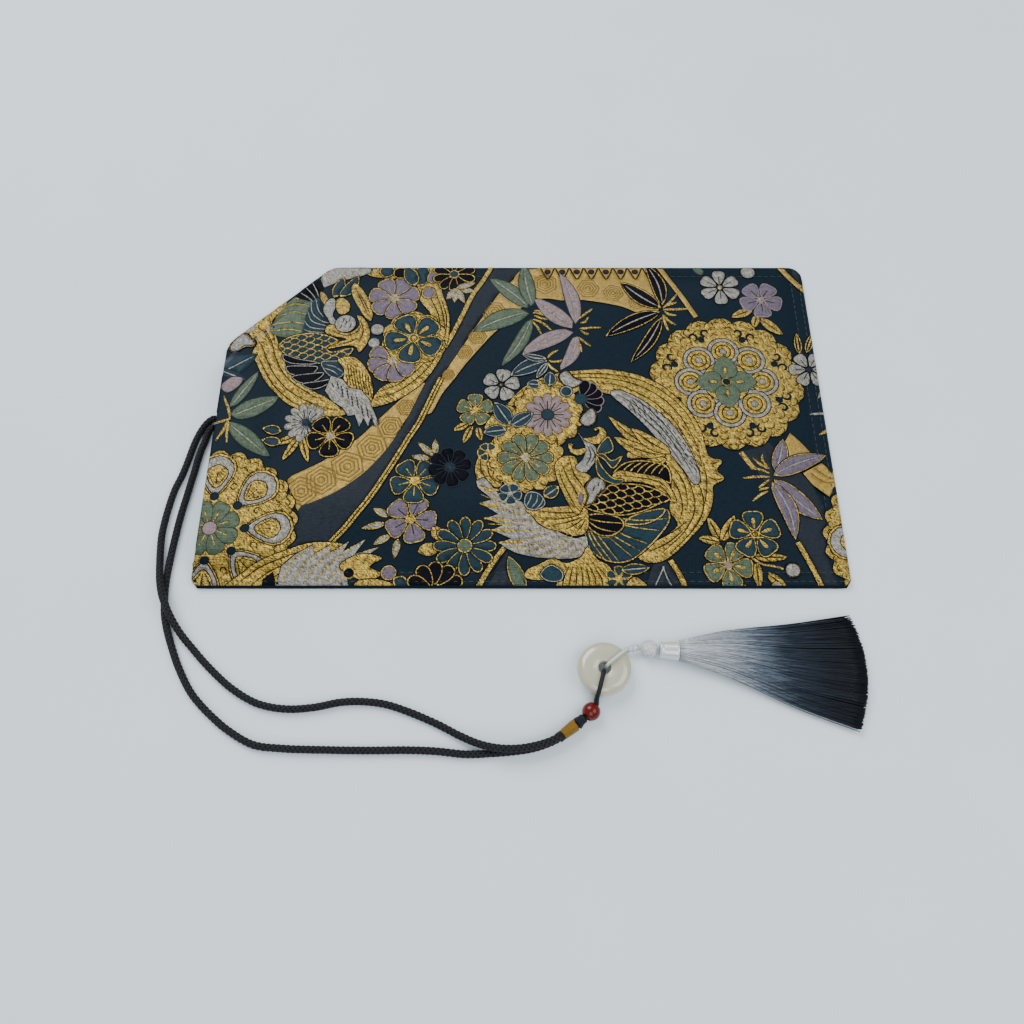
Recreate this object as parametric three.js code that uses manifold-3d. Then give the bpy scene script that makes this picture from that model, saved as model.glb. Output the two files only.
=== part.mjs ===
// A flat brocade drawstring pouch that lies on a table with its mouth at the left end.
// Two strands of black cord leave the hem in the middle of the mouth, run round the front of
// the pouch to a gold whipping, and carry a red bead, a pale stone ring and a silk tassel.
// Millimetres, +Z up. Lengths inside the groups count from the pouch's lower left corner.
import * as THREE from 'three';
import * as BufferGeometryUtils from 'three/addons/utils/BufferGeometryUtils.js';
import Module from 'manifold-3d';

const wasm = await Module();
wasm.setup();

// Pouch
const POUCH_WIDTH = 250;
const POUCH_DEPTH = 151;
const CLIP_WIDTH = 41;          // the cut-off corner, along the far edge
const CLIP_DEPTH = 40.5;        // and along the mouth
const CORNER_RADIUS = 3;
const FAR_CORNER_RADIUS = 6;
const CLOTH = 0.8;              // interfaced brocade
const TURNING = 0.5;            // seam allowance folded in along the sewn edges
const STITCHED_BORDER = 7;      // flat rim that the two rows of topstitching hold down
const CROWN_RUN = 30;           // how far from the border the pouch takes to fill out
const MOUTH_RUN = 13;           // the same at the mouth, where the hem holds it open
const POCKET_HEIGHT = 4.8;      // clear height between the linings at the mouth
const BORDER_SHOW = 0.5;        // the back cloth shows this much past the front one

// Brocade: fields of coloured weft that stand a little above the front cloth
const WEFT = 0.3;
const WEFT_GAP = 0.15;
const BARE_GROUND = 0.5;        // the ground shows this much between neighbouring fields

// Lining
const LINING = 0.4;
const LINING_INSET = 10.5;
const LINING_CORNER = 16;
const LINING_MOUTH_INSET = 19;  // past the turns of the cord at the ends of the hem
const LINING_SLACK = 0.5;       // the lining hangs a little clear of the front cloth

// Hem and drawstring
const LIP = 1.0;                // brocade turned down over the open side of the tunnel
const HEM_WIDTH = 8.5;
const HEM_CORD_THICK = 1.6;     // the hollow braid lies flattened inside the hem
const HEM_CORD_WIDE = 4.0;
const HEM_CORD_INSET = 5;       // its centre line, from the edge of the mouth
const CORD_DIAMETER = 3;
const EXIT_HEIGHT = 71;         // where the strands leave, up the mouth from the near corner
const EXIT_SPACING = 4.4;

// Pieces on the cord
const THIN_CORD = 1.6;
const WRAP_LENGTH = 6.0;
const WRAP_RADII = [1.9, 2.3];
const WHIPPING_LENGTH = 3.5;
const WHIPPING_END_RADIUS = 1.5;
const BEAD_DIAMETER = 6.6;
const BEAD_BORE = 3.7;
const RING_DIAMETER = 19.6;
const RING_BORE = 4.4;
const RING_THICK = 5.5;
const SILVER_CORD = 1.3;
const TWIST_KNOT_DIAMETER = 2.6;
const BUTTON_KNOT_DIAMETER = 6.5;
const CAP_LENGTH = 7;
const CAP_DIAMETERS = [6.4, 7.4];
const SKIRT_LENGTH = 67;
const SKIRT_END_THICK = 3.2;

const GAP = 0.3;                // clearance between pieces that touch
const FLOOR_GAP = 0.05;         // rounded pieces just clear the table

const mix = (a, b, t) => a + (b - a) * t;
const clamp01 = (v) => Math.min(1, Math.max(0, v));
const smooth = (from, to, v) => {
  const t = clamp01((v - from) / (to - from));
  return t * t * (3 - 2 * t);
};

// Materials
const material = (color, roughness, metalness) =>
  new THREE.MeshStandardMaterial({ color, roughness, metalness });
const brocade = material('#0e2c3c', 0.6, 0.05);
const backCloth = material('#1a3342', 0.75, 0.05);
const goldWeft = material('#c4a24a', 0.45, 0.5);
const silverWeft = material('#b9b8bd', 0.45, 0.3);
const sageWeft = material('#6f8272', 0.6, 0);
const tealWeft = material('#2a5266', 0.6, 0);
const mauveWeft = material('#8d7c93', 0.6, 0);
const roseWeft = material('#b39b98', 0.6, 0);
const navyWeft = material('#0b0d24', 0.55, 0);
const slateWeft = material('#333d4b', 0.65, 0);
const liningCloth = material('#39424c', 0.7, 0);
const blackBraid = material('#0b0b0e', 0.6, 0);
const goldThread = material('#a87c1c', 0.45, 0.3);
const navyThread = material('#0d1420', 0.55, 0);
const redStone = material('#6e120c', 0.12, 0);
const paleJade = material('#c6c5b1', 0.18, 0);
const silverSilk = material('#c3c3c1', 0.35, 0.1);
const darkSilk = material('#2a3644', 0.45, 0);

function named(name, geometry, look) {
  const mesh = new THREE.Mesh(geometry, look);
  mesh.name = name;
  return mesh;
}

// Booleans
function toSolid(geometry) {
  const bare = geometry.clone();
  bare.deleteAttribute('normal');
  bare.deleteAttribute('uv');
  const merged = BufferGeometryUtils.mergeVertices(bare, 1e-4);
  return new wasm.Manifold(new wasm.Mesh({
    numProp: 3,
    vertProperties: merged.attributes.position.array,
    triVerts: new Uint32Array(merged.index.array),
  }));
}

function toGeometry(solid) {
  const mesh = solid.getMesh();
  const geometry = new THREE.BufferGeometry();
  geometry.setAttribute('position', new THREE.BufferAttribute(mesh.vertProperties, 3));
  geometry.setIndex(new THREE.BufferAttribute(mesh.triVerts, 1));
  geometry.computeVertexNormals();
  return geometry;
}

// Outline of the pouch
const CLIP_SLOPE = CLIP_DEPTH / CLIP_WIDTH;
const CLIP_SECANT = Math.hypot(1, CLIP_SLOPE);
const MOUTH_HEIGHT = POUCH_DEPTH - CLIP_DEPTH;

const rounding = (distance, radius) =>
  distance >= radius ? 0 : radius - Math.sqrt(radius ** 2 - (radius - distance) ** 2);

function nearEdge(x, inset) {
  const right = POUCH_WIDTH - inset - x;
  return inset + rounding(Math.max(0, x), CORNER_RADIUS) + rounding(right, CORNER_RADIUS);
}

function farEdge(x, inset, corner = FAR_CORNER_RADIUS, soft = CORNER_RADIUS) {
  const right = POUCH_WIDTH - inset - x;
  const clip = MOUTH_HEIGHT + x * CLIP_SLOPE - inset * CLIP_SECANT;
  const top = POUCH_DEPTH - inset;
  const blend = Math.max(0, soft - Math.abs(clip - top)) / soft;
  return Math.min(clip, top) - (blend ** 2 * soft) / 4
    - rounding(Math.max(0, x), CORNER_RADIUS) - rounding(right, corner);
}

const clipDistance = (x, y) => (MOUTH_HEIGHT + x * CLIP_SLOPE - y) / CLIP_SECANT;

// Heights of the layers
const BORDER_TOP = 2 * CLOTH + GAP + TURNING;
const HEM_RISE = HEM_CORD_THICK + GAP;
const BACK_HEM_TOP = CLOTH + GAP + HEM_RISE + LINING;
const BODY_TOP = BACK_HEM_TOP + POCKET_HEIGHT + LINING + LINING_SLACK + CLOTH;
const MOUTH_TOP = BODY_TOP + HEM_RISE;
const EYE_HEIGHT = 323;         // the edge of the raised mouth draws back as the cloth lifts
const EYE_RIGHT = 121;

const pillow = (distance, run) =>
  Math.sin((Math.PI / 2) * clamp01((distance - STITCHED_BORDER) / run));

// How far the pouch has filled out: 0 on the stitched border, 1 over the pocket
function fullness(x, y) {
  const body = pillow(y, CROWN_RUN) * pillow(POUCH_WIDTH - x, CROWN_RUN)
    * pillow(POUCH_DEPTH - y, CROWN_RUN) * pillow(clipDistance(x, y), CROWN_RUN);
  const farGap = clipDistance(x, y) * CLIP_SECANT - STITCHED_BORDER * (CLIP_SECANT - 1);
  const mouth = pillow(y, MOUTH_RUN) ** 0.8 * pillow(farGap, MOUTH_RUN) ** 0.8;
  return mix(mouth, body, smooth(14, 60, x));
}

function frontTop(x, y) {
  const crown = mix(MOUTH_TOP, BODY_TOP, smooth(HEM_WIDTH, 30, x));
  return mix(BORDER_TOP, crown, fullness(x, y));
}

function frontUnderside(x, y) {
  const edge = Math.min(y, POUCH_WIDTH - x, POUCH_DEPTH - y, clipDistance(x, y));
  const turned = 1 - smooth(STITCHED_BORDER, STITCHED_BORDER + 2, edge);
  return frontTop(x, y) - CLOTH - TURNING * turned;
}

// The mouth's upper edge lies back from the lower one
function drawnBack(x, y) {
  const lift = frontTop(0, Math.min(y, MOUTH_HEIGHT)) - BORDER_TOP;
  return (lift * EYE_RIGHT / EYE_HEIGHT) * (1 - smooth(0, 40, x));
}

// A sheet of cloth between two heights, over the pouch's outline
const EDGE_STEPS = [0, 0.8, 7, 10, 14, 20, 37];
const MOUTH_STEPS = [4, 8.5, 11, 16, 22, 28, 34, CLIP_WIDTH, CLIP_WIDTH + 4, 60];

function spread(from, to, count) {
  return Array.from({ length: count }, (_, i) => mix(from, to, (i + 1) / (count + 1)));
}

function sheet({ columns, rows, low, high, lower, upper, shift }) {
  const grid = columns.map((x) => rows(low(x), high(x)).map((y) => [x, y]));
  const across = grid[0].length;
  const positions = [];
  for (const height of [lower, upper]) {
    for (const [x, y] of grid.flat()) {
      positions.push(x + shift(x, y), y, height(x, y));
    }
  }
  const layer = columns.length * across;
  const at = (i, j, top) => i * across + j + (top ? layer : 0);
  const index = [];
  const quad = (a, b, c, d) => index.push(a, b, c, a, c, d);
  for (let i = 0; i + 1 < columns.length; i++) {
    for (let j = 0; j + 1 < across; j++) {
      quad(at(i, j, 1), at(i + 1, j, 1), at(i + 1, j + 1, 1), at(i, j + 1, 1));
      quad(at(i, j, 0), at(i, j + 1, 0), at(i + 1, j + 1, 0), at(i + 1, j, 0));
    }
    quad(at(i, 0, 0), at(i + 1, 0, 0), at(i + 1, 0, 1), at(i, 0, 1));
    const last = across - 1;
    quad(at(i + 1, last, 0), at(i, last, 0), at(i, last, 1), at(i + 1, last, 1));
  }
  const end = columns.length - 1;
  for (let j = 0; j + 1 < across; j++) {
    quad(at(0, j + 1, 0), at(0, j, 0), at(0, j, 1), at(0, j + 1, 1));
    quad(at(end, j, 0), at(end, j + 1, 0), at(end, j + 1, 1), at(end, j, 1));
  }
  const geometry = new THREE.BufferGeometry();
  geometry.setAttribute('position', new THREE.Float32BufferAttribute(positions, 3));
  geometry.setIndex(index);
  geometry.computeVertexNormals();
  return geometry;
}

const edgeRows = (steps, count) => (low, high) => {
  const reach = steps[steps.length - 1];
  const near = steps.map((s) => low + s);
  const far = steps.map((s) => high - s).reverse();
  return [...near, ...spread(low + reach, high - reach, count), ...far];
};

const noShift = () => 0;

// The front cloth's grid and its rolled edge, which the brocade's fields follow
const FRONT_RIGHT = POUCH_WIDTH - BORDER_SHOW;
const frontGrid = {
  columns: [0, LIP, LIP + GAP, ...MOUTH_STEPS, ...spread(60, FRONT_RIGHT - 37, 2),
    ...EDGE_STEPS.map((s) => FRONT_RIGHT - s).reverse()],
  rows: edgeRows(EDGE_STEPS, 2),
  low: (x) => nearEdge(x, BORDER_SHOW),
  high: (x) => farEdge(x, BORDER_SHOW),
  shift: drawnBack,
};

function rolled(x, y) {
  const edge = Math.min(y - nearEdge(x, BORDER_SHOW), farEdge(x, BORDER_SHOW) - y, FRONT_RIGHT - x);
  return frontTop(x, y) - TURNING * (1 - smooth(0, 0.8, edge));
}

// Front cloth, with the lip that closes the tunnel at the mouth
function frontPanel() {
  const lipDrop = CLOTH + HEM_RISE + LINING_SLACK + LINING;
  const underside = (x, y) => {
    const plain = frontUnderside(x, y);
    const lip = Math.max(frontTop(x, y) - lipDrop, CLOTH + GAP);
    return x <= LIP ? Math.min(plain, lip) : plain;
  };
  return sheet({ ...frontGrid, lower: underside, upper: rolled });
}

// Brocade figures. Each is drawn as the eye above the table sees it and cast down on the cloth
const EYE_FRONT = -113.6;

function castDown([x, y]) {
  let spot = [x, y];
  for (let i = 0; i < 3; i++) {
    const share = 1 - frontTop(...spot) / EYE_HEIGHT;
    spot = [EYE_RIGHT + (x - EYE_RIGHT) * share, EYE_FRONT + (y - EYE_FRONT) * share];
  }
  return spot;
}

const outlined = (points) => new wasm.CrossSection([points.map(castDown)], 'NonZero');
const joined = (shapes) => shapes.reduce((all, shape) => all.add(shape));
const around = ([x, y], radius, degrees) => {
  const angle = (degrees * Math.PI) / 180;
  return [x + radius * Math.cos(angle), y + radius * Math.sin(angle)];
};

// A round figure whose edge swells into petals or lobes
function flower(centre, radius, petals, turn = 0, depth = 0.2) {
  const steps = 3 * petals;
  return outlined(Array.from({ length: steps }, (_, i) =>
    around(centre, i % 3 ? radius : radius * (1 - depth), turn + (360 / steps) * (i - 1.5))));
}

// A pointed leaf from base to tip
function leaf(base, tip, width) {
  const [dx, dy] = [tip[0] - base[0], tip[1] - base[1]];
  const long = Math.hypot(dx, dy);
  const point = (along, side) => [
    base[0] + dx * along - (dy / long) * side * (width / 2),
    base[1] + dy * along + (dx / long) * side * (width / 2)];
  return outlined([point(0, 0.25), point(0.25, 0.9), point(0.55, 0.95), point(1, 0), point(0.55, -0.95),
    point(0.25, -0.9), point(0, -0.25)]);
}

// Bamboo leaves that spring from one joint of the stem
const spray = (node, tips, width) => joined([flower(node, 2.6, 3, 0, 0.1),
  ...tips.map((tip) => leaf(node, tip, width))]);

// A band of even width along a run of points
function band(points, width) {
  const side = (way) => points.map(([x, y], i) => {
    const [from, to] = [points[Math.max(0, i - 1)], points[Math.min(points.length - 1, i + 1)]];
    const [dx, dy] = [to[0] - from[0], to[1] - from[1]];
    const half = (way * width) / 2 / Math.hypot(dx, dy);
    return [x - half * dy, y + half * dx];
  });
  return outlined([...side(1), ...side(-1).reverse()]);
}

// Listed from the bottom up: what comes later covers what lies under it
const FIGURES = () => [
  ['gold_ribbon', goldWeft, outlined([[85, 78], [93, 97], [104, 117], [116, 138.5], [126, 151], [181, 151],
    [184, 141], [186, 131], [177, 127], [160, 133], [143, 134], [130, 134], [117, 120.5], [106, 107],
    [97, 93.5], [88, 77]])],
  ['gold_ribbon_end', goldWeft, outlined([[31.5, 46], [45, 54.5], [58, 64.5], [69, 77], [80, 88], [84, 91.5],
    [86, 90], [80.5, 79], [73, 64.5], [63, 50.5], [50, 40], [37, 32.5]])],
  ['slate_ribbon', slateWeft, outlined([[37, 32.5], [50, 40], [63, 50.5], [73, 64.5], [81, 82], [91, 108],
    [100, 128], [110, 146], [113, 151], [125, 151], [116, 139.5], [103, 117], [93, 98], [85, 80],
    [75, 57.5], [64, 38], [51, 20], [36, 14]])],
  ['ribbon_edge', goldWeft, band([[51, 19.5], [60, 31], [70, 47.5], [79, 65], [86, 80], [91, 93]], 2.2)],
  ['slate_ribbon_right', slateWeft, outlined([[214.5, 58.5], [224, 42], [231, 25], [236, 9], [240, 0],
    [247, 0], [243.5, 8], [243, 22], [245, 30], [244, 38], [237, 49], [228, 60]])],
  ['left_medallion', goldWeft, flower([3.3, 25], 34.3, 16, 0, 0.05)],
  ['right_medallion', goldWeft, flower([276, 19], 34, 16, 0, 0.05)],
  ['round_medallion', goldWeft, flower([211.5, 92], 32.5, 18, 0, 0.05)],
  ['round_medallion_lobes', silverWeft, flower([211.5, 92], 21.5, 8, 22.5)],
  ['left_medallion_flower', sageWeft, flower([3.3, 25], 13, 8, 22.5)],
  ['round_medallion_flower', sageWeft, flower([211.5, 92], 12.5, 4, 0, 0.45)],
  ['left_phoenix_crest', goldWeft, outlined([[8, 116], [13, 101], [22, 87], [33, 78.5], [46, 75.5], [51, 77],
    [44, 84], [30, 93], [24, 104], [19, 117], [20, 130], [13, 124]])],
  ['left_phoenix_sweep', goldWeft, outlined([[63, 80], [78, 86.5], [89, 100], [94, 115], [93.5, 128],
    [88.5, 142.5], [80, 141], [85, 128], [88, 114], [85, 106], [74, 93.5], [64, 88]])],
  ['left_phoenix_body', tealWeft, outlined([[21.5, 111], [34, 116.5], [47, 112], [53, 107], [48, 94],
    [37, 90], [27, 96], [23, 106]])],
  ['left_phoenix_wing', sageWeft, outlined([[17, 118], [21, 130], [29, 138], [37, 134], [41, 119],
    [31, 117.5]])],
  ['left_phoenix_head', goldWeft, outlined([[41, 120], [48, 114], [56, 108], [60, 114], [59, 127], [53, 142],
    [48, 134], [44, 128]])],
  ['left_phoenix_tail', silverWeft, outlined([[43, 88], [50, 79.5], [58.5, 71], [61, 73.5], [63, 71],
    [66, 71.5], [63, 80], [57, 88], [49, 95]])],
  ['mauve_flower_far', mauveWeft, flower([69.5, 135.5], 11.5, 7, 15)],
  ['mauve_flower_near', mauveWeft, flower([70.5, 102.5], 11, 7, 15)],
  ['teal_plum', tealWeft, flower([79, 114], 13, 5, 45)],
  ['white_chrysanthemum', silverWeft, flower([36.5, 72.3], 9.5, 8, 15)],
  ['navy_plum', navyWeft, flower([47, 66], 10, 5, 54)],
  ['edge_leaves', sageWeft, joined([leaf([4, 74], [25, 85], 9), leaf([4, 74], [23, 57], 7.5),
    leaf([4, 74], [14, 97], 6), flower([5, 74], 2.4, 3)])],
  ['bottom_wing_gold', goldWeft, outlined([[12, 0], [18, 6], [33, 15], [50, 18.8], [56, 17], [50, 12],
    [40, 8], [31, 0]])],
  ['bottom_wing_silver', silverWeft, outlined([[31, 0], [38, 12], [44, 17.5], [50, 15.5], [57.5, 19],
    [58, 15], [69.5, 17], [58, 6], [59, 0]])],
  ['mauve_plum', mauveWeft, flower([81.5, 28.8], 10.6, 5, -3)],
  ['teal_plum_near', tealWeft, flower([82.5, 45.6], 10.3, 5, -92)],
  ['navy_chrysanthemum', navyWeft, flower([96.3, 51.7], 9.5, 8, 10)],
  ['teal_chrysanthemum', tealWeft, flower([103, 17.5], 12.2, 9, 0)],
  ['sage_plum', sageWeft, flower([106, 78.4], 7.9, 5, 90)],
  ['phoenix_ring', goldWeft, outlined([[119, 80], [133, 93.5], [152, 97.7], [168, 97], [184, 90], [195, 77],
    [199.7, 62], [205, 52], [201, 38], [191, 21.5], [178, 10.8], [170, 13], [186, 27], [184, 40], [184, 53],
    [168, 56], [175, 70], [165, 84], [150, 88], [125, 80]])],
  ['phoenix_wing_right', silverWeft, outlined([[162.5, 86], [173, 84.5], [187, 71.5], [195.5, 53],
    [194.5, 44.5], [186, 57], [176, 71]])],
  ['phoenix_wing_left', silverWeft, outlined([[107.5, 46], [117, 39], [129, 33], [146, 34], [150.3, 22],
    [149.8, 14.5], [136, 12.3], [118, 17], [121, 20.5], [113.7, 24.2], [118, 26.3], [110.8, 29.2],
    [116, 31], [108.6, 35.8], [113.5, 37.3]])],
  ['phoenix_body', navyWeft, outlined([[150, 36], [158, 40.5], [163, 48], [167, 54], [184, 51], [184, 38],
    [172, 31.8], [156, 31.5]])],
  ['phoenix_tail', tealWeft, outlined([[150, 28], [166, 30], [182, 33], [182, 28], [172, 15], [159, 10.7],
    [151, 15]])],
  ['phoenix_neck', goldWeft, outlined([[138.5, 51], [144, 62], [151, 66], [156, 57], [153, 47], [150, 36],
    [147, 31], [141, 41]])],
  ['rose_chrysanthemum', roseWeft, flower([136, 76], 11.5, 9)],
  ['sage_chrysanthemum', sageWeft, flower([126.7, 56], 12, 9)],
  ['teal_plum_right', tealWeft, flower([215.8, 22.3], 10.5, 5, 91)],
  ['sage_plum_right', sageWeft, flower([204, 9.6], 9.4, 5, -82)],
  ['sage_bamboo', sageWeft, spray([129.5, 128], [[111, 146.5], [127, 149], [104.5, 117.5], [116.5, 100]], 8)],
  ['rose_bamboo', roseWeft, spray([148, 119], [[142.5, 148], [131, 135.5], [125, 106], [141.5, 98]], 7.4)],
  ['navy_bamboo', navyWeft, spray([186.5, 129.5], [[169.5, 144], [181.5, 149], [162, 115], [172, 102]], 6.6)],
  ['mauve_bamboo', mauveWeft, spray([225.5, 47.5], [[247, 56.5], [231.5, 63.5], [242.5, 29], [231.3, 20]],
    7.4)],
];
// Back cloth: flat, with its own lip at the mouth, open where the two strands leave
function backPanel() {
  const flat = sheet({
    columns: [0, 1, 3, 20, CLIP_WIDTH, CLIP_WIDTH + 3,
      ...spread(CLIP_WIDTH + 3, POUCH_WIDTH - 6, 3),
      ...[6, 4, 2, 0.8, 0].map((s) => POUCH_WIDTH - s)],
    rows: edgeRows([0, 4], 3),
    low: (x) => nearEdge(x, 0), high: (x) => farEdge(x, 0),
    lower: () => 0, upper: () => CLOTH, shift: noShift,
  });
  const start = STITCHED_BORDER + 2;
  const stop = MOUTH_HEIGHT - STITCHED_BORDER * CLIP_SECANT - 1;
  const run = 7;
  const rim = new THREE.Shape();
  rim.moveTo(start, CLOTH / 2);
  rim.lineTo(stop, CLOTH / 2);
  rim.lineTo(stop, CLOTH);
  rim.lineTo(stop - run, BACK_HEM_TOP);
  rim.lineTo(start + run, BACK_HEM_TOP);
  rim.lineTo(start, CLOTH);
  const lip = new THREE.ExtrudeGeometry(rim, { depth: LIP, bevelEnabled: false });
  lip.applyMatrix4(new THREE.Matrix4().makeBasis(
    new THREE.Vector3(0, 1, 0), new THREE.Vector3(0, 0, 1), new THREE.Vector3(1, 0, 0)));
  const slotWidth = EXIT_SPACING + HEM_CORD_WIDE + 2 * GAP;
  const slot = new THREE.BoxGeometry(4 * LIP, slotWidth, BACK_HEM_TOP);
  slot.translate(0, EXIT_HEIGHT, CLOTH + BACK_HEM_TOP / 2);
  return toGeometry(toSolid(flat).add(toSolid(lip)).subtract(toSolid(slot)));
}

// Lining: one thin bag, closed at the sewn edges and open at the mouth
function lining() {
  const start = LIP + GAP;
  const hem = (x) => HEM_RISE * (1 - smooth(HEM_WIDTH, 13, x));
  const outerFloor = (x) => CLOTH + GAP + hem(x);
  const outerRoof = (x, y) => Math.max(frontUnderside(x, y) - LINING_SLACK - hem(x),
    outerFloor(x) + 2 * LINING + 0.06);
  const widen = (x) => smooth(13, 26, x);
  const low = (x, inset) => mix(LINING_MOUTH_INSET, LINING_INSET, widen(x)) + inset
    + rounding(POUCH_WIDTH - LINING_INSET - inset - x, LINING_CORNER);
  const mouthFar = MOUTH_HEIGHT - LINING_MOUTH_INSET - 5;
  const high = (x, inset) =>
    Math.min(farEdge(x, LINING_INSET, LINING_CORNER, LINING_CORNER),
      mix(mouthFar, POUCH_DEPTH, widen(x))) - inset;
  const steps = [0, 1.5, 5, 11, 26.5];
  const columnsTo = (left, right) => [left, ...MOUTH_STEPS, ...spread(60, right - 26.5, 2),
    ...steps.map((s) => right - s).reverse()];
  const right = POUCH_WIDTH - LINING_INSET;
  const outer = sheet({
    columns: columnsTo(start, right), rows: edgeRows(steps, 2),
    low: (x) => low(x, 0), high: (x) => high(x, 0),
    lower: outerFloor, upper: outerRoof, shift: drawnBack,
  });
  const wall = 0.5;
  const inner = sheet({
    columns: columnsTo(start - 2, right - wall), rows: edgeRows(steps, 2),
    low: (x) => low(x, wall), high: (x) => high(x, wall),
    lower: (x) => outerFloor(x) + LINING,
    upper: (x, y) => Math.max(outerRoof(x, y) - LINING, outerFloor(x) + LINING + 0.05),
    shift: drawnBack,
  });
  return toGeometry(toSolid(outer).subtract(toSolid(inner)));
}

// Cords
const at = (x, y, z) => new THREE.Vector3(x, y, z);

function polygonSection(radiusX, radiusY, sides) {
  const points = Array.from({ length: sides }, (_, i) => {
    const angle = (2 * Math.PI * (i + 0.5)) / sides;
    return new THREE.Vector2(radiusX * Math.cos(angle), radiusY * Math.sin(angle));
  });
  return new THREE.Shape(points);
}

function tube(points, section, steps) {
  const path = new THREE.CatmullRomCurve3(points, false, 'centripetal');
  return new THREE.ExtrudeGeometry(section, { steps, extrudePath: path, bevelEnabled: false });
}

const hemHeight = (x, y) => frontTop(x, y) - CLOTH - GAP - 0.1 - HEM_CORD_THICK / 2;

// The part of the drawstring inside the hem: along the back hem from the exit to each end
// of the mouth, round, and back along the front hem
function hemCord() {
  const floor = CLOTH + GAP + HEM_CORD_THICK / 2;
  const x0 = HEM_CORD_INSET;
  const x1 = x0 + drawnBack(x0, EXIT_HEIGHT) * 0.75;
  const xTurn = (x0 + x1) / 2;
  const nearTurn = STITCHED_BORDER + 6.8;
  const farTurn = MOUTH_HEIGHT - STITCHED_BORDER * CLIP_SECANT - 1.6;
  const turn = (y, inward) => {
    const over = hemHeight(0, y + 3.2 * inward) - 0.3;
    const middle = (over + floor) / 2;
    return [
      at(xTurn, y + 3.4 * inward, floor), at(xTurn, y + 0.9 * inward, mix(floor, middle, 0.4)),
      at(xTurn, y, middle), at(xTurn, y + 0.9 * inward, mix(middle, over, 0.6)),
      at(xTurn, y + 3.4 * inward, over),
    ];
  };
  const exit = (side) => [
    at(0, EXIT_HEIGHT + side * EXIT_SPACING / 2, floor),
    at(1.8, EXIT_HEIGHT + side * EXIT_SPACING / 2, floor),
    at(x0 - 0.9, EXIT_HEIGHT + side * (EXIT_SPACING / 2 + 2.2), floor),
    at(x0, EXIT_HEIGHT + side * (EXIT_SPACING / 2 + 6), floor),
  ];
  const frontRun = spread(nearTurn + 6, farTurn - 6, 6)
    .map((y) => at(x1, y, hemHeight(LIP, y)));
  const ease = (y) => at(mix(xTurn, x1, 0.7), y, hemHeight(LIP, y));
  const route = [
    ...exit(-1), at(x0, 40, floor), at(xTurn, nearTurn + 8, floor),
    ...turn(nearTurn, 1), ease(nearTurn + 7), ...frontRun, ease(farTurn - 7),
    ...turn(farTurn, -1).reverse(),
    at(xTurn, farTurn - 8, floor), ...exit(1).reverse(),
  ];
  const flattened = polygonSection(HEM_CORD_THICK / 2, HEM_CORD_WIDE / 2, 8);
  return tube(route, flattened, 54);
}

// Free strands, point by point from the mouth to the whipping
const UNDER = CORD_DIAMETER / 2 + FLOOR_GAP;
const strandOver = [
  [-0.35, 73.2, 1.9], [-1.6, 73.0, 1.8], [-3.5, 71.4, 1.6], [-5.3, 68.2, UNDER], [-6.9, 63.6, UNDER],
  [-7.9, 59.2, UNDER], [-8.9, 53.7, UNDER], [-10.3, 47.2, UNDER], [-12.1, 41.3, UNDER],
  [-13.3, 34.3, UNDER], [-14.0, 27.3, UNDER], [-14.2, 21.3, 1.7], [-13.4, 14.1, 2.3],
  [-12.3, 8.3, 3.4], [-10.7, 1.4, 4.7], [-8.8, -4.4, 5.1], [-6.3, -9.4, 4.9],
  [-3.8, -13.8, 3.9], [-0.4, -18.6, 2.6], [4.1, -23.5, 1.8], [10.5, -30.0, UNDER],
  [20.5, -38.4, UNDER], [30.4, -43.8, UNDER], [40.4, -45.7, UNDER], [50.3, -45.2, UNDER],
  [60.3, -43.3, UNDER], [68.3, -43.1, UNDER], [76.2, -44.1, UNDER], [85.2, -47.0, UNDER],
  [95.1, -51.2, UNDER], [103.1, -55.3, 2.1], [110.1, -58.4, 3.8], [117.1, -60.0, 5.0],
  [124.0, -60.0, 5.0], [129.9, -59.0, 5.0], [135.2, -57.3, 4.9], [138.4, -55.6, 4.9],
];
const strandUnder = [
  [-0.45, 68.8, 1.9], [-1.6, 68.6, 1.8], [-2.6, 66.6, 1.6], [-3.3, 62.7, UNDER], [-4.2, 59.2, UNDER],
  [-5.0, 54.2, UNDER], [-5.6, 49.2, UNDER], [-6.9, 39.3, UNDER], [-8.2, 29.3, UNDER],
  [-9.0, 19.4, UNDER], [-9.5, 9.4, UNDER], [-9.6, 1.4, UNDER], [-9.0, -5.5, UNDER],
  [-7.9, -11.5, UNDER], [-6.1, -17.0, UNDER], [-3.4, -23.4, UNDER], [0.0, -30.4, UNDER],
  [5.6, -39.4, UNDER], [10.5, -44.7, UNDER], [15.5, -49.1, UNDER], [20.5, -52.9, UNDER],
  [30.4, -58.2, UNDER], [40.4, -59.5, UNDER], [55.3, -60.0, UNDER], [70.2, -60.2, UNDER],
  [85.2, -60.1, UNDER], [95.1, -60.5, UNDER], [105.1, -61.5, UNDER], [115.0, -61.1, UNDER],
  [123.0, -60.4, UNDER], [129.0, -59.4, UNDER], [134.9, -57.4, UNDER], [138.4, -55.6, UNDER],
];

function strand(route) {
  const radius = CORD_DIAMETER / 2;
  const points = route.map(([x, y, z]) => at(x, y, z));
  return tube(points, polygonSection(radius, radius, 8), 44);
}

// Whippings: oval spindles of wound thread round both strands
const WRAP_START = at(139.0, -55.2, 3.5);
const WRAP_TURN = Math.atan2(0.6, 0.8);
const BEAD_PLACE = at(149.3, -47.0, BEAD_DIAMETER / 2 + FLOOR_GAP);
const BEAD_TURN = Math.atan2(0.75, 0.66);

function spindle(profile, oval) {
  const points = profile.map(([along, radius]) => new THREE.Vector2(radius, along));
  const geometry = new THREE.LatheGeometry(points, 16);
  geometry.rotateZ(-Math.PI / 2);
  geometry.scale(1, 1, oval);
  return geometry;
}

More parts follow.
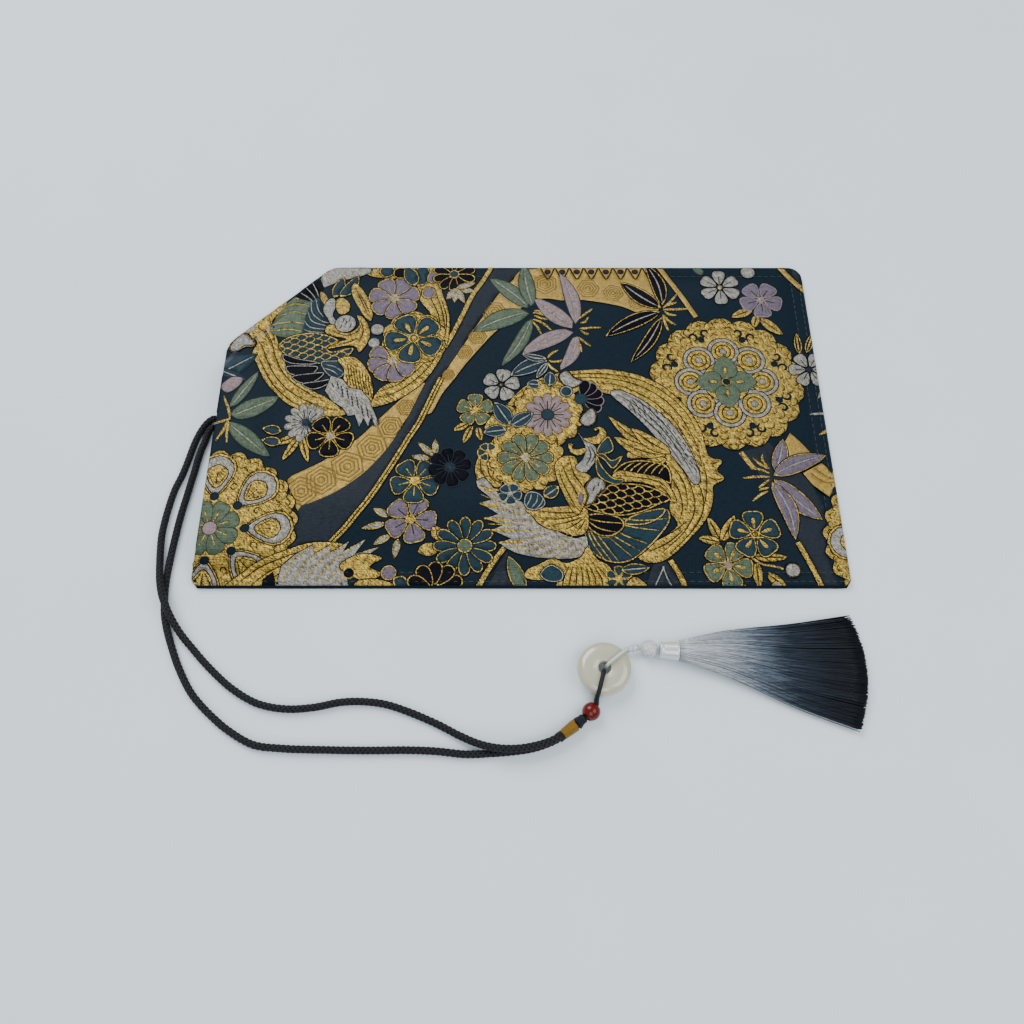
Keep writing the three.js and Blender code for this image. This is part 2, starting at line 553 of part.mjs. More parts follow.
function placedAlong(mesh, place, turn) {
  mesh.position.copy(place);
  mesh.rotation.z = turn;
  return mesh;
}

function ribbedProfile(length, radii, turns) {
  const profile = [[0, 0], [0, radii[0] - 0.25]];
  for (let i = 0; i < turns; i++) {
    const from = (i / turns) * length;
    const step = length / turns;
    const radius = mix(radii[0], radii[1], (i + 0.5) / turns);
    profile.push([from + step * 0.3, radius], [from + step * 0.7, radius]);
    if (i + 1 < turns) profile.push([from + step, radius - 0.15]);
  }
  profile.push([length, radii[1] - 0.25], [length, 0]);
  return profile;
}

const goldWrap = () => spindle(ribbedProfile(WRAP_LENGTH, WRAP_RADII, 7), 1.5);
const WHIPPING_RADII = [WRAP_RADII[1], WHIPPING_END_RADIUS];
const whippedEnd = () => spindle(ribbedProfile(WHIPPING_LENGTH, WHIPPING_RADII, 4), 1.35);

// Bead with its bore
function bead() {
  const radius = BEAD_DIAMETER / 2;
  const bore = BEAD_BORE / 2;
  const rim = Math.asin(bore / radius);
  const arc = Array.from({ length: 11 }, (_, i) => {
    const angle = mix(rim, Math.PI - rim, i / 10);
    return new THREE.Vector2(radius * Math.sin(angle), -radius * Math.cos(angle));
  });
  const geometry = new THREE.LatheGeometry([...arc, arc[0]], 20);
  geometry.rotateZ(-Math.PI / 2);
  return geometry;
}

// Stone ring: a thick round-edged disc, dished towards a small hole
const RING_PLACE = at(154.4, -32.0, FLOOR_GAP + THIN_CORD + GAP + 0.25);

function stoneRing() {
  const outer = RING_DIAMETER / 2;
  const bore = RING_BORE / 2;
  const half = RING_THICK / 2;
  const arc = (from, to, centreR, centreZ, radiusR, radiusZ, count) =>
    Array.from({ length: count }, (_, i) => {
      const angle = mix(from, to, i / (count - 1));
      return new THREE.Vector2(centreR + radiusR * Math.cos(angle),
        centreZ + radiusZ * Math.sin(angle));
    });
  const edge = 3.6;
  const lip = 0.8;
  const profile = [
    ...arc(-Math.PI / 2, Math.PI / 2, outer - edge, half, edge, half, 9),
    ...arc(Math.PI / 2, Math.PI, bore + lip, RING_THICK - lip - 0.3, lip, lip, 3),
    ...arc(Math.PI, 1.5 * Math.PI, bore + lip, lip + 0.3, lip, lip, 3),
  ];
  const geometry = new THREE.LatheGeometry([...profile, profile[0]], 32);
  geometry.rotateX(Math.PI / 2);
  return geometry;
}

// Loops that go over the ring's rim, down its hole and back beneath it
const RING_TOP = RING_PLACE.z + RING_THICK;

function ringLoop({ angle, bore, diameter, start, ends }) {
  const radius = diameter / 2;
  const over = RING_TOP + GAP + radius;
  const under = FLOOR_GAP + 0.1 + radius;
  const rim = RING_DIAMETER / 2 + GAP + radius;
  const away = (r, z) => at(RING_PLACE.x + r * Math.cos(angle),
    RING_PLACE.y + r * Math.sin(angle), z);
  const points = [
    start[0],
    away(rim + 0.5, RING_PLACE.z + RING_THICK * 0.62), away(rim - 1.1, over - 1.1),
    away(rim - 2.8, over - 0.2), away(6, over), away(3.2, over - 0.25),
    away(bore + 0.35, over - 1.2),
    away(bore, RING_PLACE.z + RING_THICK * 0.6), away(bore, RING_PLACE.z + 0.9),
    away(bore + 0.8, under + 0.2), away(3.6, under), away(rim - 2, under),
    away(rim + 0.6, under + 0.35), start[1],
  ];
  return tube(points, polygonSection(radius, radius, 8), ends);
}

const THIN_ANGLE = Math.atan2(-15.0, -4.2);
const alongBead = (distance, z) => at(BEAD_PLACE.x + distance * Math.cos(BEAD_TURN),
  BEAD_PLACE.y + distance * Math.sin(BEAD_TURN), z);

function thinCordLoop() {
  const level = BEAD_PLACE.z;
  const apart = THIN_CORD / 2 + GAP / 2;
  const reach = Math.sqrt((BEAD_DIAMETER / 2) ** 2 - (BEAD_BORE / 2) ** 2) + GAP;
  return ringLoop({
    angle: THIN_ANGLE, bore: 1.15, diameter: THIN_CORD, ends: 34,
    start: [alongBead(reach, level + apart), alongBead(reach, level - apart)],
  });
}

// Tassel: it turns about the ring's own axis
const LOOP_ANGLE = Math.atan2(6.2, 7.6);
const TWIST_START = at(163.8, -24.4, 2.9);
const TWIST_TURN = Math.atan2(0.9, 3.9);
const TWIST_LENGTH = 3.7;
const TASSEL_LEVEL = CAP_DIAMETERS[1] / 2 + FLOOR_GAP;
const BUTTON_PLACE = at(171.2, -24.2, BUTTON_KNOT_DIAMETER / 2 + FLOOR_GAP);
const CAP_PLACE = at(BUTTON_PLACE.x + BUTTON_KNOT_DIAMETER / 2 + GAP + 0.1, -24.7, TASSEL_LEVEL);
const CAP_TURN = -0.05;

function silverLoop() {
  const apart = SILVER_CORD / 2 + GAP / 2;
  return ringLoop({
    angle: LOOP_ANGLE, bore: 1.25, diameter: SILVER_CORD, ends: 34,
    start: [at(TWIST_START.x - GAP, TWIST_START.y - 0.1, TWIST_START.z + apart),
      at(TWIST_START.x - GAP, TWIST_START.y - 0.1, TWIST_START.z - apart)],
  });
}

function twistedKnot() {
  const sides = 16;
  const radius = TWIST_KNOT_DIAMETER / 2;
  const steps = 10;
  const lobes = 2;
  const positions = [];
  const ring = (along, scale) => {
    for (let i = 0; i < sides; i++) {
      const angle = (2 * Math.PI * i) / sides;
      const wave = 0.84 + 0.16 * Math.cos(lobes * (angle - along * 1.1));
      const r = radius * wave * scale;
      positions.push(along, r * Math.cos(angle), r * Math.sin(angle));
    }
  };
  for (let k = 0; k <= steps; k++) {
    const t = k / steps;
    ring(t * TWIST_LENGTH, k === 0 || k === steps ? 0.7 : 1);
  }
  return loft(positions, sides, steps + 1);
}

// Closes rings of points into one solid, each end with a point in its middle
function loft(positions, sides, rings) {
  const index = [];
  for (let k = 0; k + 1 < rings; k++) {
    for (let i = 0; i < sides; i++) {
      const next = (i + 1) % sides;
      const a = k * sides + i;
      const b = k * sides + next;
      index.push(a, b, b + sides, a, b + sides, a + sides);
    }
  }
  const centre = (first) => {
    const sum = [0, 0, 0];
    for (let i = 0; i < sides * 3; i++) sum[i % 3] += positions[first * 3 + i] / sides;
    return sum;
  };
  const total = positions.length / 3;
  const lastRing = (rings - 1) * sides;
  positions.push(...centre(0), ...centre(lastRing));
  for (let i = 0; i < sides; i++) {
    const next = (i + 1) % sides;
    index.push(total, next, i, total + 1, lastRing + i, lastRing + next);
  }
  const geometry = new THREE.BufferGeometry();
  geometry.setAttribute('position', new THREE.Float32BufferAttribute(positions, 3));
  const volume = signedVolume(positions, index);
  geometry.setIndex(volume > 0 ? index : index.reverse());
  geometry.computeVertexNormals();
  return geometry;
}

function signedVolume(positions, index) {
  const point = (i) => new THREE.Vector3().fromArray(positions, i * 3);
  let total = 0;
  for (let i = 0; i < index.length; i += 3) {
    total += point(index[i]).dot(point(index[i + 1]).cross(point(index[i + 2])));
  }
  return total;
}

// Button knot: a ball of plaited cord, eight strands running slantwise round it
function buttonKnot() {
  const sides = 28;
  const rings = 9;
  const radius = BUTTON_KNOT_DIAMETER / 2;
  const positions = [];
  for (let k = 0; k < rings; k++) {
    const polar = mix(0.2, Math.PI - 0.2, k / (rings - 1));
    for (let i = 0; i < sides; i++) {
      const angle = (2 * Math.PI * i) / sides;
      const weave = Math.cos(8 * angle + 5 * polar) * Math.cos(5 * polar - 4 * angle);
      const r = radius * (0.95 + 0.05 * weave);
      positions.push(-r * Math.cos(polar), r * Math.sin(polar) * Math.cos(angle),
        r * Math.sin(polar) * Math.sin(angle));
    }
  }
  return loft(positions, sides, rings);
}

// Satin cap over the tassel's head
function tasselCap() {
  const [small, large] = CAP_DIAMETERS.map((d) => d / 2);
  const profile = [[0, 0], [0, small - 0.5], [0.5, small], [1.1, small], [1.4, small - 0.25],
    [CAP_LENGTH - 1, large - 0.15], [CAP_LENGTH - 0.3, large], [CAP_LENGTH, large - 0.2],
    [CAP_LENGTH, 0]];
  return spindle(profile, 1);
}

// Skirt: silk threads that lie fanned on the table
const SKIRT_START_X = CAP_PLACE.x + CAP_LENGTH + GAP;
const SKIRT_FAR = [0, 17, 42, 64.7];
const SKIRT_NEAR = [0, 17, 42, 62.2];
const skirtFarEdge = new THREE.CatmullRomCurve3([
  at(0, 3.6, 0), at(SKIRT_FAR[1], 7.4, 0), at(SKIRT_FAR[2], 10.4, 0), at(SKIRT_FAR[3], 13.8, 0)]);
const skirtNearEdge = new THREE.CatmullRomCurve3([
  at(0, -3.6, 0), at(SKIRT_NEAR[1], -9.4, 0), at(SKIRT_NEAR[2], -21, 0),
  at(SKIRT_NEAR[3], -28.8, 0)]);

function tasselSkirt() {
  const threads = 24;
  const sides = threads * 2;
  const rings = 8;
  const head = CAP_DIAMETERS[1] / 2 - 0.2;
  const stretch = SKIRT_LENGTH / 67;
  const positions = [];
  for (let k = 0; k < rings; k++) {
    const s = k / (rings - 1);
    const far = skirtFarEdge.getPoint(s);
    const near = skirtNearEdge.getPoint(s);
    const bow = 4.2 * s * s;
    const half = mix(head, SKIRT_END_THICK / 2, smooth(0, 0.75, s));
    for (let i = 0; i < sides; i++) {
      const angle = (2 * Math.PI * i) / sides;
      const side = Math.cos(angle);
      const groove = i % 2 ? 1 : 1 - 0.1 * smooth(0, 0.2, s);
      const x = mix(near.x, far.x, (side + 1) / 2) + bow * (1 - side * side);
      const y = mix(near.y, far.y, (side + 1) / 2);
      const flat = Math.sign(Math.sin(angle)) * Math.abs(Math.sin(angle)) ** mix(1, 0.55, s);
      positions.push(x * stretch, y, half + FLOOR_GAP + half * flat * groove);
    }
  }
  return loft(positions, sides, rings);
}

// Assembly
const pouch = new THREE.Group();
pouch.add(
  named('front_panel', frontPanel(), brocade),
  named('back_panel', backPanel(), backCloth),
  named('lining', lining(), liningCloth),
  named('drawstring_in_hem', hemCord(), blackBraid),
  named('drawstring_strand_over', strand(strandOver), blackBraid),
  named('drawstring_strand_under', strand(strandUnder), blackBraid),
);

// Each field is cut from a thin layer over the front cloth, clear of the fields that cover it
function brocadeFields() {
  const layer = toSolid(sheet({
    ...frontGrid,
    lower: (x, y) => rolled(x, y) + WEFT_GAP,
    upper: (x, y) => rolled(x, y) + WEFT_GAP + WEFT,
  }));
  const largest = (shape) => shape.decompose().reduce((a, b) => (b.area() > a.area() ? b : a));
  let covered = null;
  return FIGURES().reverse().map(([name, look, shape]) => {
    const seen = covered ? largest(shape.subtract(covered.offset(BARE_GROUND, 'Miter'))) : shape;
    covered = covered ? covered.add(shape) : shape;
    const parts = layer.intersect(seen.simplify(0.05).extrude(2 * MOUTH_TOP)).decompose();
    const solid = parts.reduce((a, b) => (b.volume() > a.volume() ? b : a));
    return named(name, toGeometry(solid), look);
  }).reverse();
}
pouch.add(...brocadeFields());

const wrapEnd = WRAP_START.clone().add(at(Math.cos(WRAP_TURN), Math.sin(WRAP_TURN), 0)
  .multiplyScalar(WRAP_LENGTH + GAP));
const whippingTurn = Math.atan2(BEAD_PLACE.y - wrapEnd.y, BEAD_PLACE.x - wrapEnd.x);
pouch.add(
  placedAlong(named('gold_whipping', goldWrap(), goldThread), WRAP_START, WRAP_TURN),
  placedAlong(named('navy_whipping', whippedEnd(), navyThread),
    at(wrapEnd.x, wrapEnd.y, 3.2), whippingTurn),
  named('thin_cord_loop', thinCordLoop(), blackBraid),
  placedAlong(named('red_bead', bead(), redStone), BEAD_PLACE, BEAD_TURN),
);

const ring = named('stone_ring', stoneRing(), paleJade);
ring.position.copy(RING_PLACE);
pouch.add(ring);

const tassel = new THREE.Group();
const skirt = named('tassel_skirt', tasselSkirt(), darkSilk);
skirt.position.set(SKIRT_START_X, CAP_PLACE.y - 0.35, 0);
tassel.add(
  named('silver_loop', silverLoop(), silverSilk),
  placedAlong(named('twisted_knot', twistedKnot(), silverSilk), TWIST_START, TWIST_TURN),
  placedAlong(named('button_knot', buttonKnot(), silverSilk), BUTTON_PLACE, 0),
  placedAlong(named('tassel_cap', tasselCap(), silverSilk), CAP_PLACE, CAP_TURN),
  skirt,
);
pouch.add(tassel);

pouch.position.set(-POUCH_WIDTH / 2, -POUCH_DEPTH / 2, 0);
const model = new THREE.Group();
model.add(pouch);
export default model;
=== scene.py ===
# %% [markdown]
# # A flat brocade pouch with its drawstring and tassel
#
# The real object is a flat pouch of silk brocade. It lies on a table, and a black braided cord leaves
# its mouth, runs round in one loose curve and ends in a whipping, a bead, a stone ring and a tassel.
# We load the measured solids first, because every piece has to sit where they are.

import math
import random

import bpy
import numpy as np
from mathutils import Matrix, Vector, geometry


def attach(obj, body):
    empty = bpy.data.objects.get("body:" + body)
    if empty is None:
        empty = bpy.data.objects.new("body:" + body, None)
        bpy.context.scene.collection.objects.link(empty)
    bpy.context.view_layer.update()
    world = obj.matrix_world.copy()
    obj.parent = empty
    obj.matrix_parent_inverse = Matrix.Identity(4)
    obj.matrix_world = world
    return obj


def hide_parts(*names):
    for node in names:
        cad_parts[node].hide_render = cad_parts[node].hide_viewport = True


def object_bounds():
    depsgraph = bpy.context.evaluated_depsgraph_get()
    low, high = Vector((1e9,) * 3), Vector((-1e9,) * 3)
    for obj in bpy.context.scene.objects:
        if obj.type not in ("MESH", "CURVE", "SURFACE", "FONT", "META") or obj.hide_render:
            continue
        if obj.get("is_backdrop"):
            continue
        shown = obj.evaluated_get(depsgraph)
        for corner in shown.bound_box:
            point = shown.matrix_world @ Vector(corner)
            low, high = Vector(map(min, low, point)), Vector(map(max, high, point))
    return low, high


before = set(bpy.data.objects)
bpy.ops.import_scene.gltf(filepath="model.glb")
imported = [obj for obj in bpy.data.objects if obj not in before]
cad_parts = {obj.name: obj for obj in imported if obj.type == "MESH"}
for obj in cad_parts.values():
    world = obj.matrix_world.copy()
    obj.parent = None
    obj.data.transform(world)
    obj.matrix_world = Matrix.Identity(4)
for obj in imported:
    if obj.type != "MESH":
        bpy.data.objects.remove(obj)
cad_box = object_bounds()
print("solids span", [round(1000 * (b - a), 1) for a, b in zip(*cad_box)], "mm")

# %% [markdown]
# ## Where things are
#
# The pouch is drawn in millimetres from its own lower left corner. The frame is in metres, with its
# origin under the middle of the pouch, so one function turns the first into the second.

# %% From pouch millimetres to the frame
POUCH_WIDTH, POUCH_DEPTH = 250.0, 151.0
CLIP_WIDTH, CLIP_DEPTH = 41.0, 40.5


def place(x, y, z=0.0):
    return ((x - POUCH_WIDTH / 2) / 1000, (y - POUCH_DEPTH / 2) / 1000, z / 1000)


# %% [markdown]
# ## Camera, table and light
#
# The picture was taken from in front and above, at about 66 degrees. A table of pale card fills the
# view, and three large soft lamps light it evenly, with a little more from behind so that the metal
# thread and the silk catch it.

# %% Camera
LENS_AT, LENS_TILT = (-0.00373, -0.1891, 0.32275), math.radians(24.28)
bpy.ops.object.camera_add(location=LENS_AT, rotation=(LENS_TILT, 0, 0))
camera = bpy.context.object
camera.data.sensor_width, camera.data.lens = 36, 31.64
camera.data.clip_start = 0.01
bpy.context.scene.camera = camera
print("camera at", [round(v, 3) for v in camera.location])


# %% One class for shader sums
class Wire:
    """A shader socket that takes part in sums. Numbers and wires mix freely."""

    def __init__(self, tree, socket):
        self.tree, self.socket = tree, socket

    def node(self, kind, settings=None, sockets=None, out=0):
        made = self.tree.nodes.new(kind)
        for name, value in (settings or {}).items():
            if name == "stops":
                ramp = made.color_ramp
                while len(ramp.elements) < len(value):
                    ramp.elements.new(0.5)
                for element, (position, colour) in zip(ramp.elements, value):
                    element.position, element.color = position, (*colour, 1)
            else:
                setattr(made, name, value)
        for name, value in (sockets or {}).items():
            if isinstance(value, Wire):
                self.tree.links.new(value.socket, made.inputs[name])
            else:
                made.inputs[name].default_value = value
        return Wire(self.tree, made.outputs[out])

    def maths(self, operation, *values):
        return self.node("ShaderNodeMath", {"operation": operation}, dict(enumerate(values)))

    def __add__(self, other):
        return self.maths("ADD", self, other)

    def __sub__(self, other):
        return self.maths("SUBTRACT", self, other)

    def __rsub__(self, other):
        return self.maths("SUBTRACT", other, self)

    def __mul__(self, other):
        return self.maths("MULTIPLY", self, other)

    __radd__, __rmul__ = __add__, __mul__

    def sine(self):
        return self.maths("SINE", self)

    def clamped(self):
        return self.node("ShaderNodeClamp", sockets={0: self})

    def blend(self, first, second):
        """Mixes two colours, with this wire as the share of the second."""
        colours = {6: (*first, 1), 7: (*second, 1)}
        return self.node("ShaderNodeMix", {"data_type": "RGBA"}, {0: self, **colours}, out=2)

    def part(self, axis):
        return self.node("ShaderNodeSeparateXYZ", sockets={0: self}, out="XYZ".index(axis))


# %% [markdown]
# Every finish starts the same way: a colour is written as on a paint card, the piece's own position in
# millimetres drives soft random spots, and the spots feed colour, roughness and a low bump.

# %% Helpers for finishes
def srgb(code):
    """A colour written as #rrggbb, as the shader's linear numbers."""
    values = [int(code[i : i + 2], 16) / 255 for i in (1, 3, 5)]
    return tuple(v / 12.92 if v <= 0.04045 else ((v + 0.055) / 1.055) ** 2.4 for v in values)


def finish_named(name, **constants):
    """A new material. Returns it, its position in millimetres, and a function that joins its shader."""
    material = bpy.data.materials.new(name)
    material.use_nodes = True
    tree = material.node_tree
    shader = tree.nodes["Principled BSDF"]
    for socket, value in constants.items():
        shader.inputs[socket.replace("_", " ")].default_value = value
    start = Wire(tree, None)
    spot = start.node("ShaderNodeTexCoord", out=3)
    spot = start.node("ShaderNodeVectorMath", {"operation": "SCALE"}, {0: spot, "Scale": 1000.0})

    def join(**links):
        for socket, wire in links.items():
            tree.links.new(wire.socket, shader.inputs[socket.replace("_", " ")])

    return material, spot, join


def bumped(height, strength=0.5, distance=0.0002):
    sockets = {"Strength": strength, "Distance": distance, "Height": height}
    return height.node("ShaderNodeBump", sockets=sockets)


def noise(spot, scale, detail=2.0, stretch=(1, 1, 1)):
    """Soft random spots, `scale` of them to a millimetre, drawn out along an axis by `stretch`."""
    drawn = spot.node("ShaderNodeMapping", sockets={0: spot, "Scale": stretch})
    sockets = {"Vector": drawn, "Scale": scale, "Detail": detail}
    return spot.node("ShaderNodeTexNoise", sockets=sockets)


def thread_finish(name, dark, light, rough, scale=3.0, detail=3.0, spread=0.2, size=0.00005, **constants):
    """Braided, wound or sewn thread: two close colours in fine spots, which also roughen it."""
    material, spot, join = finish_named(name, **constants)
    fibres = noise(spot, scale, detail)
    join(
        Base_Color=fibres.blend(srgb(dark), srgb(light)),
        Roughness=fibres * spread + rough,
        Normal=bumped(fibres, 0.3, size),
    )
    return material


# %% Table and lamps
def deselect():
    if bpy.context.object and bpy.context.object.mode != "OBJECT":
        bpy.ops.object.mode_set(mode="OBJECT")
    bpy.ops.object.select_all(action="DESELECT")


deselect()
bpy.ops.mesh.primitive_plane_add(size=6, location=(0, 0, -0.00002))
table = bpy.context.object
table.name = "pale_table"
card, spot, join = finish_named("pale_card", Roughness=0.7)
join(Base_Color=noise(spot, 0.02).blend(srgb("#d6e4ec"), srgb("#dfeaf0")))
table.data.materials.append(card)
table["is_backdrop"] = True


def lamp(name, place_at, size, watts, aim=(0.0, -0.01, 0.0)):
    direction = Vector(aim) - Vector(place_at)
    turn = direction.to_track_quat("-Z", "Y").to_euler()
    bpy.ops.object.light_add(type="AREA", location=place_at, rotation=turn)
    made = bpy.context.object
    made.name, made.data.energy = name, watts
    made.data.shape, made.data.size = "SQUARE", size


lamp("window_lamp", (-0.55, 0.75, 1.0), 0.9, 17)
lamp("fill_lamp", (0.8, -0.2, 1.0), 0.9, 8.5)
lamp("front_lamp", (-0.1, -0.9, 0.9), 0.8, 5.5)
print("three lamps round the table")
world = bpy.data.worlds.new("studio")
bpy.context.scene.world = world
world.use_nodes = True
backdrop = world.node_tree.nodes["Background"]
backdrop.inputs["Color"].default_value = (*srgb("#e8eef4"), 1)
backdrop.inputs["Strength"].default_value = 0.6

# %% [markdown]
# ## The two free strands
#
# The drawstring is a limp black braid, 3 mm thick. It leaves the hem at the left edge as two strands,
# which lie on the table in one loose curve and meet in the whipping. They are curves along the
# measured route, turned into meshes of real braided yarns: four yarns go round each way and pass
# over and under each other. Modelling them costs little and gives the cord its true silhouette.

# %% Routes of the two strands, in pouch millimetres. A point without a height lies on the table.
LOW = 1.55
OVER_ROUTE = [
    (-0.35, 73.2, 1.9), (-1.6, 73.0, 1.8), (-3.5, 71.4, 1.6), (-5.3, 68.2), (-6.9, 63.6),
    (-7.9, 59.2), (-8.9, 53.7), (-10.3, 47.2), (-12.1, 41.3), (-13.3, 34.3), (-14.0, 27.3),
    (-14.2, 21.3, 1.7), (-13.4, 14.1, 2.3), (-12.3, 8.3, 3.4), (-10.7, 1.4, 4.7), (-8.8, -4.4, 5.1),
    (-6.3, -9.4, 4.9), (-3.8, -13.8, 3.9), (-0.4, -18.6, 2.6), (4.1, -23.5, 1.8), (10.5, -30.0),
    (20.5, -38.4), (30.4, -43.8), (40.4, -45.7), (50.3, -45.2), (60.3, -43.3), (68.3, -43.1),
    (76.2, -44.1), (85.2, -47.0), (95.1, -51.2), (103.1, -55.3, 2.1), (110.1, -58.4, 3.8),
    (117.1, -60.0, 5.0), (124.0, -60.0, 5.0), (129.9, -59.0, 5.0), (135.2, -57.3, 4.9),
    (138.4, -55.6, 4.9),
]
UNDER_ROUTE = [
    (-0.45, 68.8, 1.9), (-1.6, 68.6, 1.8), (-2.6, 66.6, 1.6), (-3.3, 62.7), (-4.2, 59.2),
    (-5.0, 54.2), (-5.6, 49.2), (-6.9, 39.3), (-8.2, 29.3), (-9.0, 19.4), (-9.5, 9.4), (-9.6, 1.4),
    (-9.0, -5.5), (-7.9, -11.5), (-6.1, -17.0), (-3.4, -23.4), (0.0, -30.4), (5.6, -39.4),
    (10.5, -44.7), (15.5, -49.1), (20.5, -52.9), (30.4, -58.2), (40.4, -59.5), (55.3, -60.0),
    (70.2, -60.2), (85.2, -60.1), (95.1, -60.5), (105.1, -61.5), (115.0, -61.1), (123.0, -60.4),
    (129.0, -59.4), (134.9, -57.4), (138.4, -55.6),
]

# %% [markdown]
# A route is a few measured points. It becomes a smooth path with even steps, and every yarn, cord and
# thread below is a tube along such a path.

# %% Smooth paths and tubes
def unit(vectors):
    """The vectors, each brought to length 1."""
    return vectors / np.maximum(np.linalg.norm(vectors, axis=1), 1e-9)[:, None]


def run_along(path):
    """How far along the path each of its points lies."""
    return np.concatenate([[0], np.cumsum(np.linalg.norm(np.diff(path, axis=0), axis=1))])


def smooth_path(points, step):
    """A smooth curve through the points, as points `step` millimetres apart."""
    p = np.array(points, float)
    p = np.vstack([2 * p[0] - p[1], p, 2 * p[-1] - p[-2]])
    knots = np.concatenate([[0], np.cumsum(np.sqrt(np.linalg.norm(np.diff(p, axis=0), axis=1)))])
    dense = []
    for i in range(1, len(p) - 2):
        t0, t1, t2, t3 = knots[i - 1 : i + 3]
        for t in np.linspace(t1, t2, 24, endpoint=False):
            a1 = ((t1 - t) * p[i - 1] + (t - t0) * p[i]) / (t1 - t0)
            a2 = ((t2 - t) * p[i] + (t - t1) * p[i + 1]) / (t2 - t1)
            a3 = ((t3 - t) * p[i + 1] + (t - t2) * p[i + 2]) / (t3 - t2)
            b1 = ((t2 - t) * a1 + (t - t0) * a2) / (t2 - t0)
            b2 = ((t3 - t) * a2 + (t - t1) * a3) / (t3 - t1)
            dense.append(((t2 - t) * b1 + (t - t1) * b2) / (t2 - t1))
    dense = np.array(dense + [p[-2]])
    along = run_along(dense)
    at = np.linspace(0, along[-1], max(2, int(along[-1] / step) + 1))
    return np.column_stack([np.interp(at, along, dense[:, k]) for k in range(dense.shape[1])]), along[-1]


def sides_of(path):
    """The level and the upright direction at each point of a path."""
    tangent = unit(np.gradient(path, axis=0))
    level = unit(np.cross(tangent, (0, 0, 1.0)))
    return level, np.cross(level, tangent)


def turned_to(turn, level, upright):
    """The direction at an angle from level towards upright, at each point of a path."""
    return np.cos(turn)[:, None] * level + np.sin(turn)[:, None] * upright


def size_of(piece):
    return [round(1000 * v, 1) for v in piece.dimensions]


# %% [markdown]
# A tube is rings of points joined by four-sided faces, with its ends closed. Many tubes go into one
# mesh, so a cord is one piece however many yarns it has.

# %% Meshes from points and tubes
def mesh_of(name, points, faces, body, finish):
    """A mesh piece from points in pouch millimetres, which rides on a body."""
    mesh = bpy.data.meshes.new(name)
    mesh.from_pydata([place(*p) for p in points], [], [tuple(map(int, f)) for f in faces])
    mesh.validate()
    mesh.update()
    piece = bpy.data.objects.new(name, mesh)
    bpy.context.collection.objects.link(piece)
    mesh.shade_smooth()
    mesh.materials.append(finish)
    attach(piece, body)
    return piece


def yarn_tube(path, radius, sides, start):
    """Points and faces of one tube along a path, numbered from `start`. Its ends are closed."""
    level, upright = sides_of(path)
    radius = np.broadcast_to(radius, len(path))
    turns = np.arange(sides) * 2 * math.pi / sides
    outward = (np.cos(turns)[None, :, None] * level[:, None, :]
               + np.sin(turns)[None, :, None] * upright[:, None, :])
    ring = path[:, None, :] + radius[:, None, None] * outward
    index = start + np.arange(len(path) * sides).reshape(len(path), sides)
    around = np.roll(index, -1, axis=1)
    quads = np.stack([index[:-1], around[:-1], around[1:], index[1:]], axis=-1).reshape(-1, 4)
    faces = [list(q[::-1]) for q in quads] + [list(index[0]), list(index[-1][::-1])]
    return ring.reshape(-1, 3), faces


def bundle(name, tubes, sides, body, finish):
    """Many thin tubes as one mesh. Each tube is a path and its radius."""
    points, faces, count = [], [], 0
    for path, radius in tubes:
        ring, quads = yarn_tube(np.asarray(path, float), radius, sides, count)
        points.append(ring)
        faces += quads
        count += len(ring)
    return mesh_of(name, np.vstack(points), faces, body, finish)


def braid(route, diameter, pitch, yarns=8, step=0.42):
    """The yarns of a round braid along a route: half go round each way, over one and under one."""
    path, length = smooth_path(route, step)
    level, upright = sides_of(path)
    s = np.linspace(0, length, len(path))
    tubes, yarn = [], diameter * 0.155
    for way in (1, -1):
        for k in range(yarns // 2):
            turn = way * (2 * math.pi * s / pitch + 2 * math.pi * k / (yarns / 2))
            weave = np.sin(way * turn * yarns / 2 + (0 if way > 0 else math.pi) + math.pi / 2)
            reach = diameter / 2 - yarn - 0.07 * diameter * (1 - weave) / 2
            tubes.append((path + reach[:, None] * turned_to(turn, level, upright), yarn))
    core = diameter / 2 - 1.6 * yarn
    return [*tubes, (path, core)], path, length


# %% Black braid finish
black_braid = thread_finish("black_braid", "#050508", "#14141b", 0.45, 6.0, spread=0.25, size=0.00006,
                            Specular_IOR_Level=0.3)

# %% Strands
strands = {}
CORD_DIAMETER, BRAID_PITCH = 3.0, 7.0
for name, route in (("over", OVER_ROUTE), ("under", UNDER_ROUTE)):
    yarns, path, length = braid([(*point, LOW)[:3] for point in route], CORD_DIAMETER, BRAID_PITCH)
    strand = bundle(f"braided_strand_{name}", yarns, 5, "pouch", black_braid)
    strands[name] = (strand, path[::6].tolist() + [path[-1].tolist()], length)
    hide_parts(f"drawstring_strand_{name}")
    print(strand.name, round(length, 1), "mm,", len(strand.data.polygons), "faces")

# %% [markdown]
# ## Wound thread, bead and ring
#
# Where the strands meet, gold thread is wound tightly round both of them, and then dark navy thread.
# Each whipping is one long thread that goes round and round, so it is modelled as one thin tube on a
# spiral over an oval core. The bead and the ring are turned shapes: a half section is drawn once and
# spun round its axis, which gives them clean bores.


